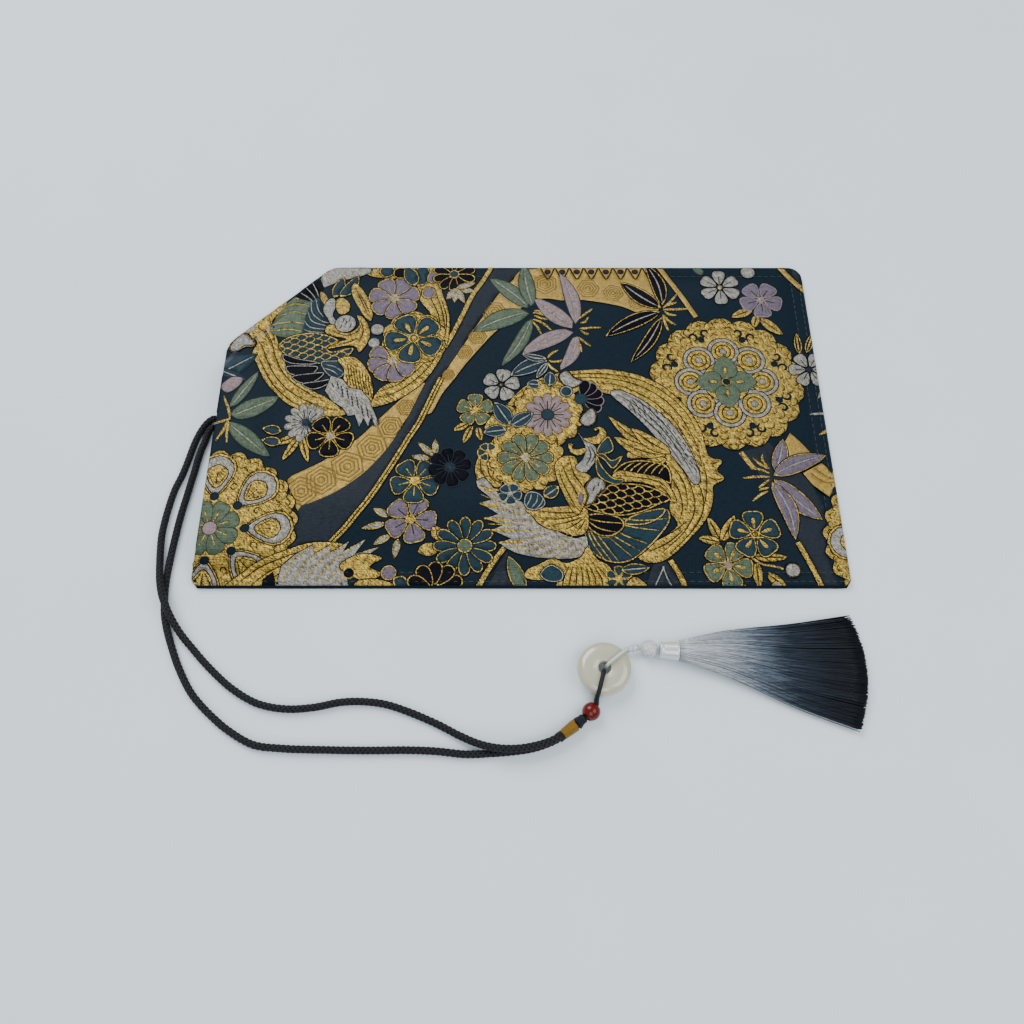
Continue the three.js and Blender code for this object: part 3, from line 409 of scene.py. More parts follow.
# %% Wound thread
def winding(name, start, turn, length, radii, oval, thread, node, finish):
    """One thread wound round an oval core that lies along `turn`."""
    def spot_on(along, across, up):
        return np.column_stack([start[0] + along * math.cos(turn) - across * math.sin(turn),
                                start[1] + along * math.sin(turn) + across * math.cos(turn),
                                start[2] + up + 0 * along])

    rounds = length / (thread * 0.92)
    t = np.linspace(0, 1, int(rounds * 26) + 1)
    angle = 2 * math.pi * rounds * t
    radius = radii[0] + (radii[1] - radii[0]) * t - thread / 2
    radius = radius * np.minimum(1, 0.9 + 2.5 * np.minimum(t, 1 - t))
    along = thread / 2 + (length - thread) * t
    wound = spot_on(along, radius * np.cos(angle), oval * radius * np.sin(angle))
    inner_radius, inner_run = radii[0] * 0.62, np.linspace(0.03, 0.97, 7) * length
    reach = inner_radius * 0.75
    sides = [(reach * math.cos(side), oval * reach * math.sin(side))
             for side in np.linspace(0, 2 * math.pi, 12, endpoint=False)]
    cores = [(spot_on(inner_run, across, up), inner_radius * 0.5) for across, up in sides]
    piece = bundle(name, [(wound, thread / 2), *cores], 6, "pouch", finish)
    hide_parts(node)
    print(name, round(rounds, 1), "turns")
    return piece


gold_thread = thread_finish("gold_thread", "#5a3f04", "#96700f", 0.3, Specular_IOR_Level=0.3)
navy_thread = thread_finish("navy_thread", "#020409", "#0a0f1a", 0.4, Specular_IOR_Level=0.3)
WRAP_TURN = math.atan2(0.6, 0.8)
WOUND_THREAD, BEAD_AT = 0.46, (149.3, -47.0, 3.35)
gold_wrap = winding("gold_wrap", (139.0, -55.2, 3.5), WRAP_TURN, 6.0, (1.9, 2.3), 1.5, WOUND_THREAD,
                    "gold_whipping", gold_thread)
navy_start = (139.0 + 6.3 * 0.8, -55.2 + 6.3 * 0.6, 3.2)
navy_turn = math.atan2(BEAD_AT[1] - navy_start[1], BEAD_AT[0] - navy_start[0])
navy_wrap = winding("navy_wrap", navy_start, navy_turn, 3.5, (2.3, 1.5), 1.35, WOUND_THREAD,
                    "navy_whipping", navy_thread)
core = np.array([(137.6, -56.2, 3.5), (139.6, -54.8, 3.5), (144.0, -51.5, 3.4), (147.3, -48.9, 3.35)])
core_radii = np.array([1.9, 1.75, 1.7, 1.2])
wrap_core = bundle("cord_in_wrap", [(core, core_radii)], 14, "pouch", black_braid)

# %% Polished stones
red_stone, spot, join = finish_named(
    "red_agate", Coat_Roughness=0.05, Specular_IOR_Level=0.15, Coat_Weight=0.3)
cloud = noise(spot, 0.35, 4.0)
join(
    Base_Color=cloud.blend(srgb("#3c0403"), srgb("#6f0f08")),
    Roughness=cloud * 0.06 + 0.1,
)
pale_jade, spot, join = finish_named(
    "pale_jade", Coat_Roughness=0.04, IOR=1.6, Coat_Weight=0.7, Subsurface_Weight=0.25,
    Subsurface_Scale=0.004)
cloud = noise(spot, 0.09, 5.0, (1, 0.6, 1))
join(
    Base_Color=cloud.blend(srgb("#a6a48a"), srgb("#bdbca6")),
    Roughness=cloud * 0.08 + 0.12,
)


def turned(name, section, place_at, steps, node, body, finish, tilt=None):
    """Spins a closed half section round Z. The section is a list of (radius, height)."""
    deselect()
    bpy.ops.mesh.primitive_circle_add(vertices=len(section), radius=1)
    piece = bpy.context.object
    piece.name = piece.data.name = name
    for vertex, (radius, height) in zip(piece.data.vertices, section):
        vertex.co = (radius / 1000, 0, height / 1000)
    bpy.ops.object.mode_set(mode="EDIT")
    bpy.ops.mesh.select_all(action="SELECT")
    bpy.ops.mesh.spin(steps=steps, angle=2 * math.pi, center=(0, 0, 0), axis=(0, 0, 1))
    bpy.ops.mesh.select_all(action="SELECT")
    bpy.ops.mesh.remove_doubles(threshold=1e-6)
    bpy.ops.mesh.normals_make_consistent(inside=False)
    bpy.ops.object.mode_set(mode="OBJECT")
    if tilt:
        piece.rotation_euler = tilt
    piece.location = place(*place_at)
    bpy.ops.object.transform_apply(location=True, rotation=True, scale=True)
    piece.data.shade_smooth()
    piece.data.materials.append(finish)
    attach(piece, body)
    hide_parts(node)
    return piece


def rounded(centre_r, centre_z, radius_r, radius_z, start, stop, count):
    """An arc of a half section, between two angles in degrees."""
    angles = np.radians(np.linspace(start, stop, count))
    return [(centre_r + radius_r * math.cos(a), centre_z + radius_z * math.sin(a)) for a in angles]


# %% Bead
BEAD_TURN = math.atan2(0.75, 0.66)
BEAD_RADIUS, BEAD_BORE = 3.3, 1.85
rim = math.degrees(math.asin(BEAD_BORE / BEAD_RADIUS))
ball = rounded(0, 0, BEAD_RADIUS, BEAD_RADIUS, rim - 90, 90 - rim, 33)
bore = [(BEAD_BORE, z) for z in np.linspace(ball[-1][1] - 0.35, ball[0][1] + 0.35, 5)]
bead = turned("agate_bead", [*ball, *bore], BEAD_AT, 64, "red_bead", "bead", red_stone,
              (0, math.pi / 2, BEAD_TURN))

# %% Stone ring
RING_AT = (154.4, -32.0, 2.2)
RING_THICK = 5.5


def dished(start, stop):
    """The shallow hollow between the ring's round rim and its hole, as radius and depth."""
    return [(r, 0.35 * ((6.2 - r) / 3.2) ** 2) for r in np.linspace(start, stop, 5)]


profile = [
    *rounded(6.2, RING_THICK / 2, 3.6, RING_THICK / 2, -90, 90, 29),
    *[(r, RING_THICK - depth) for r, depth in dished(5.6, 3.6)],
    *rounded(3.1, 4.3, 0.9, 0.85, 90, 180, 9),
    *rounded(3.1, 1.2, 0.9, 0.85, 180, 270, 9),
    *dished(3.6, 5.6),
]
stone = turned("jade_ring", profile, RING_AT, 96, "stone_ring", "ring", pale_jade)
print("bead", size_of(bead), "mm, ring", size_of(stone), "mm")

# %% [markdown]
# ## Loops and knots
#
# A thin black cord runs from the whipping through the bead and over the ring. A silver cord ties the
# tassel to the ring and is twisted round itself once. Both are tubes along their measured routes, with
# twisted plies for the silver cord. The button knot is a ball of plaited cord, made from nine strands
# that run slantwise round it each way.


# %% Loops over the ring
def ring_loop(angle, bore, diameter, starts):
    """The route of a loop over the rim of the ring, down its hole and back beneath it."""
    radius = diameter / 2
    over, under, rim_r = RING_AT[2] + RING_THICK + 0.3 + radius, 0.15 + radius, 9.8 + 0.3 + radius
    profile = [
        (rim_r + 0.5, RING_AT[2] + 3.41), (rim_r - 1.1, over - 1.1), (rim_r - 2.8, over - 0.2),
        (6, over), (3.2, over - 0.25), (bore + 0.35, over - 1.2), (bore, RING_AT[2] + 3.3),
        (bore, RING_AT[2] + 0.9), (bore + 0.8, under + 0.2), (3.6, under), (rim_r - 2, under),
        (rim_r + 0.6, under + 0.35),
    ]
    around = [(RING_AT[0] + r * math.cos(angle), RING_AT[1] + r * math.sin(angle), z)
              for r, z in profile]
    return smooth_path([starts[0], *around, starts[1]], 0.3)


def along_bead(distance, z):
    """A place along the bead's bore, at a height of its own."""
    return (BEAD_AT[0] + distance * math.cos(BEAD_TURN), BEAD_AT[1] + distance * math.sin(BEAD_TURN), z)


reach = math.sqrt(BEAD_RADIUS**2 - BEAD_BORE**2) + 0.3
path, length = ring_loop(math.atan2(-15.0, -4.2), 1.15, 1.6,
                         (along_bead(reach, 4.3), along_bead(reach, 2.4)))
cord_loop = bundle("cord_loop", [(path, 0.8)], 12, "pouch", black_braid)
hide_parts("thin_cord_loop")
silver_silk, spot, join = finish_named("silver_silk", Sheen_Weight=0.25, Sheen_Roughness=0.3)
ply = noise(spot, 2.5, 3.0)
join(
    Base_Color=ply.blend(srgb("#a9abaf"), srgb("#e2e3e4")),
    Roughness=ply * 0.2 + 0.25,
    Metallic=ply * 0.3 + 0.1,
    Normal=bumped(ply, 0.4, 0.00005),
)


def twisted_plies(path, diameter, pitch, plies):
    """The plies of a twisted cord, each as a path and its radius."""
    level, upright = sides_of(path)
    s = run_along(path)
    turns = [2 * math.pi * (s / pitch + k / plies) for k in range(plies)]
    return [(path + diameter * 0.25 * turned_to(turn, level, upright), diameter * 0.26) for turn in turns]


path, length = ring_loop(math.atan2(6.2, 7.6), 1.25, 1.3,
                         ((163.5, -24.5, 3.7), (163.5, -24.5, 2.1)))
tie = bundle("silver_tie", twisted_plies(path, 1.3, 2.2, 3), 7, "tassel", silver_silk)
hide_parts("silver_loop")

# %% Twisted knot and button knot
TWIST_TURN = math.atan2(0.9, 3.9)
line = np.linspace(0, 3.7, 30)
spine = np.column_stack([163.8 + line * math.cos(TWIST_TURN), -24.4 + line * math.sin(TWIST_TURN),
                         2.9 + 0 * line])
twist = bundle("twisted_tie", twisted_plies(spine, 2.5, 3.4, 2) + twisted_plies(spine, 1.9, -2.6, 2),
               9, "tassel", silver_silk)
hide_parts("twisted_knot")

BUTTON_AT = (171.2, -24.2, 3.3)
tubes = []
t = np.linspace(0, 1, 41)
for way in (1, -1):
    for k in range(9):
        polar = 0.22 + (math.pi - 0.44) * t
        turn = way * (1.9 * (polar - math.pi / 2)) + 2 * math.pi * (k + (0 if way > 0 else 0.5)) / 9
        weave = 0.12 * np.sin(9 * turn * way + 3 * polar)
        r = 2.72 + weave * way
        tubes.append((np.column_stack([
            BUTTON_AT[0] - r * 1.04 * np.cos(polar),
            BUTTON_AT[1] + r * np.sin(polar) * np.cos(turn),
            BUTTON_AT[2] + r * np.sin(polar) * np.sin(turn)]), 0.5 - 0.2 * np.abs(2 * t - 1) ** 4))
spindle_r = 2.45 * np.sin(np.linspace(0.12, math.pi - 0.12, 17))
tubes.append((np.column_stack([BUTTON_AT[0] + np.linspace(-2.5, 2.5, 17), np.full(17, BUTTON_AT[1]),
                               np.full(17, BUTTON_AT[2])]), spindle_r))
button = bundle("plaited_button", tubes, 8, "tassel", silver_silk)
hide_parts("button_knot")

# %% [markdown]
# ## Tassel
#
# The cap is bound with satin thread so fine that it reads as one smooth flared shell, so it is turned,
# and its finish shows the thread. The skirt is more than a thousand loose silk threads that fan out on
# the table. Each thread is its own thin tube:
# nothing else gives the fine streaks and the ragged end. They are dyed from silver at the head to
# near black at the ends, and the dye follows the distance from the cap.

# %% Satin cap
satin, spot, join = finish_named("silver_satin", Anisotropic=0.5)
fine = (spot.part("X") * 18.0).sine() * 0.5 + 0.5
join(
    Base_Color=fine.blend(srgb("#b9bbbf"), srgb("#e6e7e8")),
    Roughness=fine * 0.08 + 0.24,
    Metallic=fine * 0.1 + 0.35,
    Normal=bumped(fine, 0.25, 0.00004),
)
CAP_AT = (174.85, -24.7, 3.75)
section = [(0.01, 0), (2.7, 0), (3.05, 0.2), (3.2, 0.55), (3.2, 1.0), (3.1, 1.25), (2.97, 1.45),
           (3.12, 1.8), *[(3.16 + 0.1 * k, 2.1 + 0.9 * k) for k in range(5)], (3.68, 6.3), (3.68, 6.7),
           (3.5, 7.0), (0.01, 7.0)]
cap = turned("satin_cap", section, CAP_AT, 56, "tassel_cap", "tassel", satin,
             (0, math.pi / 2, -0.05))

# %% Skirt of silk threads
dyed_silk_painted_shade, spot, join = finish_named("dyed_silk_painted_shade", Specular_IOR_Level=0.3)
SKIRT_START, SKIRT_LENGTH, SKIRT_THREADS = 182.15, 67.0, 1700
from_cap = (spot.part("X") - (SKIRT_START - POUCH_WIDTH / 2)) * (1 / SKIRT_LENGTH)
streaks = noise(spot, 0.9, 3.0, (0.04, 1.6, 1.0))
soft = from_cap + (streaks - 0.5) * 0.35
dye_and_painted_shade = soft.node("ShaderNodeValToRGB", {"stops": [
    (0.02, srgb("#d9dbdc")), (0.24, srgb("#bcc2c7")), (0.42, srgb("#707d8a")),
    (0.6, srgb("#2a3644")), (0.8, srgb("#121a26")), (1.0, srgb("#090e15"))]}, {0: soft})
shine = noise(spot, 2.2, 2.0, (0.1, 2.0, 2.0))
# Random streaks along the threads darken the dye: painted shade between threads, leaving glints.
painted_shade_streaks = ((noise(spot, 2.6, 2.0, (0.05, 2.4, 2.4)) - 0.36) * 3.2).clamped()
painted_shade_streaks = painted_shade_streaks.blend((0.42, 0.45, 0.5), (1.0, 1.0, 1.0))
multiply = {"data_type": "RGBA", "blend_type": "MULTIPLY"}
dye_and_painted_shade = dye_and_painted_shade.node("ShaderNodeMix", multiply, {0: 1.0, 6: dye_and_painted_shade, 7: painted_shade_streaks}, out=2)
join(
    Base_Color=dye_and_painted_shade,
    Roughness=shine * 0.25 + 0.28,
    Metallic=(1.0 - from_cap).maths("MULTIPLY", 1.0 - from_cap, 0.2),
    Normal=bumped(shine, 0.35, 0.00005),
)
pick = random.Random(7)
FAR_EDGE = smooth_path([(0, 3.6, 0), (17, 7.4, 0), (42, 10.4, 0), (64.7, 13.8, 0)], 0.5)[0]
NEAR_EDGE = smooth_path([(0, -3.6, 0), (17, -9.4, 0), (42, -21, 0), (62.2, -28.8, 0)], 0.5)[0]


def on_edge(edge, s):
    """Points of an edge of the fan, at shares s of its length."""
    at = np.clip(s, 0, 1) * (len(edge) - 1)
    return np.column_stack([np.interp(at, np.arange(len(edge)), edge[:, k]) for k in range(2)])


tubes = []
s = np.linspace(0, 1, 15)
for _ in range(SKIRT_THREADS):
    side = math.sin(math.pi * (pick.random() - 0.5)) * 0.5 + 0.5
    side = 0.3 * side + 0.7 * pick.random()
    layer = pick.random()
    end = 1 - 0.03 * pick.random() ** 2
    far, near = on_edge(FAR_EDGE, s * end), on_edge(NEAR_EDGE, s * end)
    xy = near + (far - near) * side
    spread_x = 4.2 * (s * end) ** 2 * (1 - (2 * side - 1) ** 2)
    wander = 0.35 * np.sin(math.pi * s) * (pick.random() - 0.5) + 0.5 * s * (pick.random() - 0.5)
    sunk = np.clip(s / 0.75, 0, 1)
    half_here = 3.5 + (1.6 - 3.5) * sunk**2 * (3 - 2 * sunk)
    round_off = np.sqrt(np.maximum(0.05, 1 - (2 * side - 1) ** 2 * (1 - 0.35 * s)))
    z = 0.22 + half_here + half_here * round_off * (2 * layer - 1) * 0.94
    tubes.append((np.column_stack([182.0 + xy[:, 0] + spread_x, -25.05 + xy[:, 1] + wander, z]),
                  0.15 + 0.06 * pick.random()))
skirt = bundle("silk_skirt", tubes, 3, "tassel", dyed_silk_painted_shade)
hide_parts("tassel_skirt")
print("skirt:", len(tubes), "threads,", len(skirt.data.polygons), "faces")

# %% [markdown]
# ## The cloth's shape
#
# The two panels are cut alike and sewn together on three sides and along the clipped corner. Inside
# the stitched border the front stands up over the empty pocket, and highest at the open mouth. One
# function gives the height of the front everywhere, so the cloth, the woven pattern and the stitches
# all use it and can't drift apart.

# %% Heights of the front
CLIP_SLOPE = CLIP_DEPTH / CLIP_WIDTH
CLIP_SECANT = math.hypot(1, CLIP_SLOPE)
MOUTH_HEIGHT = POUCH_DEPTH - CLIP_DEPTH
CLOTH, BORDER_TOP, BODY_TOP, MOUTH_TOP, HEM_RISE = 0.8, 2.4, 9.9, 11.8, 1.9
MOUTH_LEAN = 121 / 323


def smooth(start, stop, v):
    """Rises from 0 to 1 between start and stop."""
    t = np.clip((v - start) / (stop - start), 0, 1)
    return t * t * (3 - 2 * t)


def rounding(distance, radius):
    """How far a rounded corner draws the edge in, by the distance from the corner."""
    d = np.clip(distance, 0, radius)
    return radius - np.sqrt(np.maximum(0, radius**2 - (radius - d) ** 2))


def near_edge(x, inset):
    return inset + rounding(x, 3.0) + rounding(POUCH_WIDTH - inset - x, 3.0)


def far_edge(x, inset, corner=6.0, soft=3.0):
    clip = MOUTH_HEIGHT + x * CLIP_SLOPE - inset * CLIP_SECANT
    top = POUCH_DEPTH - inset
    mixed = np.maximum(0, soft - np.abs(clip - top)) / soft
    return (np.minimum(clip, top) - mixed**2 * soft / 4
            - rounding(x, 3.0) - rounding(POUCH_WIDTH - inset - x, corner))


def clip_distance(x, y):
    return (MOUTH_HEIGHT + x * CLIP_SLOPE - y) / CLIP_SECANT


def pillow(distance, run):
    return np.sin(np.pi / 2 * np.clip((distance - 7) / run, 0, 1))


def crowned(x, y):
    """The front's height over the empty pocket, without puckers or slack."""
    body = (pillow(y, 30) * pillow(POUCH_WIDTH - x, 30)
            * pillow(POUCH_DEPTH - y, 30) * pillow(clip_distance(x, y), 30))
    far_gap = clip_distance(x, y) * CLIP_SECANT - 7 * (CLIP_SECANT - 1)
    mouth = pillow(y, 13) ** 0.8 * pillow(far_gap, 13) ** 0.8
    full = mouth + (body - mouth) * smooth(14, 60, x)
    crown = MOUTH_TOP + (BODY_TOP - MOUTH_TOP) * smooth(8.5, 30, x)
    return BORDER_TOP + (crown - BORDER_TOP) * full


def drawn_back(x, y):
    """How far the raised mouth edge lies back from the lower one."""
    lift = crowned(0 * x, np.minimum(y, MOUTH_HEIGHT)) - BORDER_TOP
    return lift * MOUTH_LEAN * (1 - smooth(0, 40, x))


def to_edge(x, y):
    return np.minimum.reduce([y, POUCH_WIDTH - x, POUCH_DEPTH - y, clip_distance(x, y)])


def ruck(x, y):
    """The small puckers that the sewing thread pulls into the border."""
    edge = to_edge(x, y)
    near = np.exp(-(((edge - 4.2) / 2.6) ** 2))
    run = x + 0.6 * y
    wave = np.sin(run * 2.1 + 1.3 * np.sin(run * 0.37)) * 0.6 + np.sin(run * 3.4 + 2) * 0.4
    return near * wave * 0.11 - 0.16 * np.exp(-(((edge - 5.8) / 0.7) ** 2))


def slack(x, y):
    """Low, broad unevenness of cloth that has been handled."""
    inside = smooth(8, 30, to_edge(x, y))
    return inside * 0.28 * (np.sin(x * 0.075 + 0.6 * np.sin(y * 0.06)) * np.sin(y * 0.09 + 1.1)
                            + 0.5 * np.sin(x * 0.16 - y * 0.11 + 0.7))


def front_height(x, y):
    """Height of the front over a place given by its cloth coordinates."""
    edge = np.minimum.reduce([y - near_edge(x, 0.5), far_edge(x, 0.5) - y, POUCH_WIDTH - 0.5 - x])
    return crowned(x, y) + ruck(x, y) + slack(x, y) - 0.5 * (1 - smooth(0, 0.8, edge))


def on_front(x, y):
    """Height of the front above a place on the table."""
    cloth_x = x - drawn_back(x - drawn_back(x, y), y)
    return front_height(np.maximum(cloth_x, 0), y)


# %% [markdown]
# ## Front and back cloth
#
# Each panel starts as a grid of squares. Its points are moved into the cut shape and up to the
# height of the cloth, and a Solidify modifier gives it the thickness of interfaced brocade. The
# ground of the weave is a deep teal satin, so fine that only its sheen and a faint rib show.

# %% Teal satin ground
def woven(name, dark, light, warp=0.42, weft=0.36, metallic=0.0, rough=0.5, deep=0.4, streak=0.6,
          gloss=0.25, floats=0.0):
    """A finish for woven thread: fine ribs, yarns that differ, and slanting gaps between long floats."""
    material, spot, join = finish_named(name, Specular_IOR_Level=gloss)
    across = (spot.part("X") * (2 * math.pi / warp)).sine() * 0.5 + 0.5
    up = (spot.part("Y") * (2 * math.pi / weft)).sine() * 0.5 + 0.5
    yarns = noise(spot, 1.4, 2.0, (0.35, 2.0, 1.0))
    picks = noise(spot, 1.1, 3.0, (2.2, 0.5, 1.0))
    rib = across * 0.28 + up * 0.22 + yarns * 0.8
    share = ((rib * (1 - streak) + picks * streak) * 3.0 - 1.2).clamped()
    relief = rib + picks * 0.8
    if floats:
        turned = spot.node("ShaderNodeMapping", sockets={0: spot, "Rotation": (0, 0, 0.75)})
        gaps = ((noise(turned, 1.15, 2.0, (0.5, 2.3, 1.0)) - 0.51) * 9.0).clamped()
        share, relief = share * (1 - gaps * floats), relief - gaps * 1.5
    join(
        Base_Color=share.blend(srgb(dark), srgb(light)),
        Roughness=yarns * 0.2 + rough - 0.1,
        Normal=bumped(relief, deep, 0.00015),
    )
    if metallic:
        join(Metallic=picks * 0.3 + metallic - 0.15)
    return material


teal_satin = woven("teal_satin", "#030d15", "#091e2a", rough=0.6, deep=0.3, streak=0.35, gloss=0.1)
lining_silk = woven("lining_silk", "#1f262e", "#363e48", rough=0.6, deep=0.3)


def grid_panel(name, columns, rows, shape, finish):
    """A grid whose points (u, v), each from 0 to 1, are moved to shape(u, v)."""
    deselect()
    bpy.ops.mesh.primitive_grid_add(x_subdivisions=columns, y_subdivisions=rows, size=2)
    panel = bpy.context.object
    panel.name = panel.data.name = name
    flat = np.empty(len(panel.data.vertices) * 3)
    panel.data.vertices.foreach_get("co", flat)
    u, v = (flat.reshape(-1, 3)[:, :2].T + 1) / 2
    x, y, z = shape(u, v)
    flat = np.column_stack([(x - POUCH_WIDTH / 2), (y - POUCH_DEPTH / 2), z]) / 1000
    panel.data.vertices.foreach_set("co", flat.ravel())
    panel.data.update()
    panel.data.materials.append(finish)
    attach(panel, "pouch")
    return panel


def applied(piece, kind, **settings):
    bpy.context.view_layer.objects.active = piece
    modifier = piece.modifiers.new(kind.lower(), kind)
    for name, value in settings.items():
        setattr(modifier, name, value)
    bpy.ops.object.modifier_apply(modifier=modifier.name)
    return piece


def eased(t, ends=0.35):
    """Spreads grid lines so that they are closer together near both ends."""
    return t - ends * np.sin(2 * np.pi * t) / (2 * np.pi)


def front_shape(u, v):
    x = eased(u, 0.3) * (POUCH_WIDTH - 0.5)
    low, high = near_edge(x, 0.5), far_edge(x, 0.5)
    y = low + (high - low) * eased(v)
    return x + drawn_back(x, y), y, front_height(x, y)


front = grid_panel("front_cloth", 230, 140, front_shape, teal_satin)
applied(front, "SOLIDIFY", thickness=CLOTH / 1000, offset=-1)
front.data.shade_smooth()
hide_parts("front_panel")


# %% Back cloth
def back_shape(u, v):
    x = u * POUCH_WIDTH
    low, high = near_edge(x, 0), far_edge(x, 0)
    y = low + (high - low) * v
    return x, y, np.full_like(x, 0.8) + 0.04 * np.sin(x * 1.9)


back = grid_panel("back_cloth", 125, 76, back_shape, teal_satin)
applied(back, "SOLIDIFY", thickness=0.55 / 1000, offset=-1)
back.data.shade_smooth()
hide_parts("back_panel")
print("front", size_of(front), "mm, back", size_of(back), "mm")

# %% [markdown]
# ## Mouth, lining and topstitching
#
# At the mouth the brocade of both panels is turned over a tunnel for the drawstring. The turned edges
# are narrow strips that follow the open mouth, and the back one has a gap where the strands leave. The
# lining is one thin bag, made as rings of points round the pocket. The drawstring inside the hem is
# the same braid pressed flat, so its yarns run round an oval instead of a circle.

# %% Turned edges of the hem
LIP_DEPTH, BACK_HEM_TOP = 3.6, 3.4


def front_lip_shape(u, v):
    low, high = near_edge(0 * v, 0.5), far_edge(0 * v, 0.5)
    y = low + (high - low) * v
    top = front_height(0 * y, y) - 0.55
    bottom = np.maximum(top + 0.55 - LIP_DEPTH, 1.1)
    bulge = 0.32 - 0.3 * np.sin(np.pi * (0.2 + 0.8 * u))
    return drawn_back(0 * y, y) + bulge, y, bottom + (top - bottom) * u


lips = [grid_panel("front_hem_edge", 8, 120, front_lip_shape, teal_satin)]
for name, start, stop, ramp in (("near", 9.0, 66.5, 0), ("far", 75.5, 99.6, 1)):
    def back_lip_shape(u, v):
        y = start + (stop - start) * v
        from_end = (stop - y) if ramp else (y - start)
        top = 0.7 + (BACK_HEM_TOP - 0.7) * np.clip(from_end / 7, 0.02, 1)
        return 0.3 - 0.3 * np.sin(np.pi * (0.05 + 0.75 * u)), y, 0.7 + (top - 0.7) * u

    lips.append(grid_panel(f"back_hem_edge_{name}", 8, 60, back_lip_shape, teal_satin))
for lip in lips:
    applied(lip, "SOLIDIFY", thickness=0.5 / 1000, offset=-1)
    lip.data.shade_smooth()
    print(lip.name, size_of(lip), "mm")

# %% Lining bag
LINING_RIGHT, LINING_CORNER = POUCH_WIDTH - 10.5, 16


def lining_floor(x):
    return 1.1 + HEM_RISE * (1 - smooth(8.5, 13, x))


def lining_ring(x, count=30):
    """The points round the bag at one place along it: over the floor and back under the roof."""
    widen = smooth(13, 26, x)
    low = 19 + (10.5 - 19) * widen + rounding(LINING_RIGHT - x, LINING_CORNER)
    far = (MOUTH_HEIGHT - 24) + (POUCH_DEPTH - MOUTH_HEIGHT + 24) * widen
    high = min(float(far_edge(x, 10.5, LINING_CORNER, LINING_CORNER)), far)
    y = low + (high - low) * eased(np.linspace(0, 1, count), 0.5)
    hem = HEM_RISE * (1 - smooth(8.5, 13, x))
    roof = np.maximum(crowned(x + 0 * y, y) - CLOTH - 0.55 - hem, lining_floor(x) + 0.86)
    across = x + drawn_back(x + 0 * y, y)
    floor_z = np.full(count, float(lining_floor(x))) + 0.05 * np.sin(0.5 * y)
    return np.vstack([np.column_stack([across, y, floor_z]),
                      np.column_stack([across, y, roof])[::-1]])


columns = 1.3 + (LINING_RIGHT - 1.3) * (1 - (1 - np.linspace(0, 1, 70)) ** 1.3)
rings = np.vstack([lining_ring(x) for x in columns])
count = len(rings) // len(columns)
starts = [count * k for k in range(len(columns))]
faces = [(start + j, start + (j + 1) % count, start + count + (j + 1) % count, start + count + j)
         for start in starts[:-1] for j in range(count)]
last, end = starts[-1], starts[-1] + count - 1
faces += [(last + j, last + j + 1, end - 1 - j, end - j) for j in range(count // 2 - 1)]
bag = mesh_of("lining_bag", rings, faces, "pouch", lining_silk)
deselect()
bpy.context.view_layer.objects.active = bag
bag.select_set(True)
bpy.ops.object.mode_set(mode="EDIT")
bpy.ops.mesh.select_all(action="SELECT")
bpy.ops.mesh.normals_make_consistent(inside=False)
bpy.ops.object.mode_set(mode="OBJECT")
applied(bag, "SOLIDIFY", thickness=0.3 / 1000, offset=-1)
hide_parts("lining")

# %% Drawstring inside the hem
FLOOR_RUN = 1.9


def under_hem(x, y):
    return float(crowned(np.array(x), np.array(y))) - 2.05


def end_turn(y, inward, x):
    over = under_hem(0, y + 3.2 * inward) - 0.3
    middle = (over + FLOOR_RUN) / 2
    return [(x, y + 3.4 * inward, FLOOR_RUN), (x, y + 0.9 * inward, FLOOR_RUN * 0.6 + middle * 0.4),
            (x, y, middle), (x, y + 0.9 * inward, middle * 0.4 + over * 0.6),
            (x, y + 3.4 * inward, over)]


def hem_exit(side):
    return [(0, 71 + 2.2 * side, FLOOR_RUN), (1.8, 71 + 2.2 * side, FLOOR_RUN),
            (4.1, 71 + 4.4 * side, FLOOR_RUN), (5, 71 + 8.2 * side, FLOOR_RUN)]


front_x = 5 + float(drawn_back(np.array(5.0), np.array(71.0))) * 0.75
turn_x = (5 + front_x) / 2
near_turn, far_turn = 7 + 6.8, MOUTH_HEIGHT - 7 * CLIP_SECANT - 1.6
front_run = [(front_x, y, under_hem(1, y)) for y in np.linspace(near_turn + 6, far_turn - 6, 8)]
route = [*hem_exit(-1), (5, 40, FLOOR_RUN), (turn_x, near_turn + 8, FLOOR_RUN),
         *end_turn(near_turn, 1, turn_x), *front_run, *end_turn(far_turn, -1, turn_x)[::-1],
         (turn_x, far_turn - 8, FLOOR_RUN), *hem_exit(1)[::-1]]
path, length = smooth_path(route, 0.7)
ahead = unit(np.gradient(path, axis=0))
wide = [np.array([0.0, 1.0, 0.0])]
for step in ahead:
    side = wide[-1] - np.dot(wide[-1], step) * step
    wide.append(side / np.linalg.norm(side))
wide = np.array(wide[1:])
thin = np.cross(ahead, wide)
s = np.linspace(0, length, len(path))
tubes = [(path + 0.55 * side * wide, 0.42) for side in (-1.6, 0, 1.6)]
for way in (1, -1):
    for k in range(5):
        turn = way * 2 * math.pi * (s / 9.5 + k / 5)
        press = 0.54 + 0.05 * np.sin(5 * turn)
        tubes.append((path + 1.7 * np.cos(turn)[:, None] * wide
                      + (press * np.sin(turn))[:, None] * thin, 0.24))
hem_braid = bundle("drawstring_flat_braid", tubes, 5, "pouch", black_braid)
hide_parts("drawstring_in_hem")
print("drawstring in the hem:", round(length), "mm,", len(hem_braid.data.polygons), "faces")

# %% Cord through the bead
through_bead = [(np.array([along_bead(-reach - 0.2, 3.35 + 0.8 * way), along_bead(0, 3.35 + 0.93 * way),
                           along_bead(reach + 0.05, 3.35 + 0.95 * way)]), 0.8) for way in (1, -1)]
bead_cord = bundle("cord_in_bead", through_bead, 10, "pouch", black_braid)

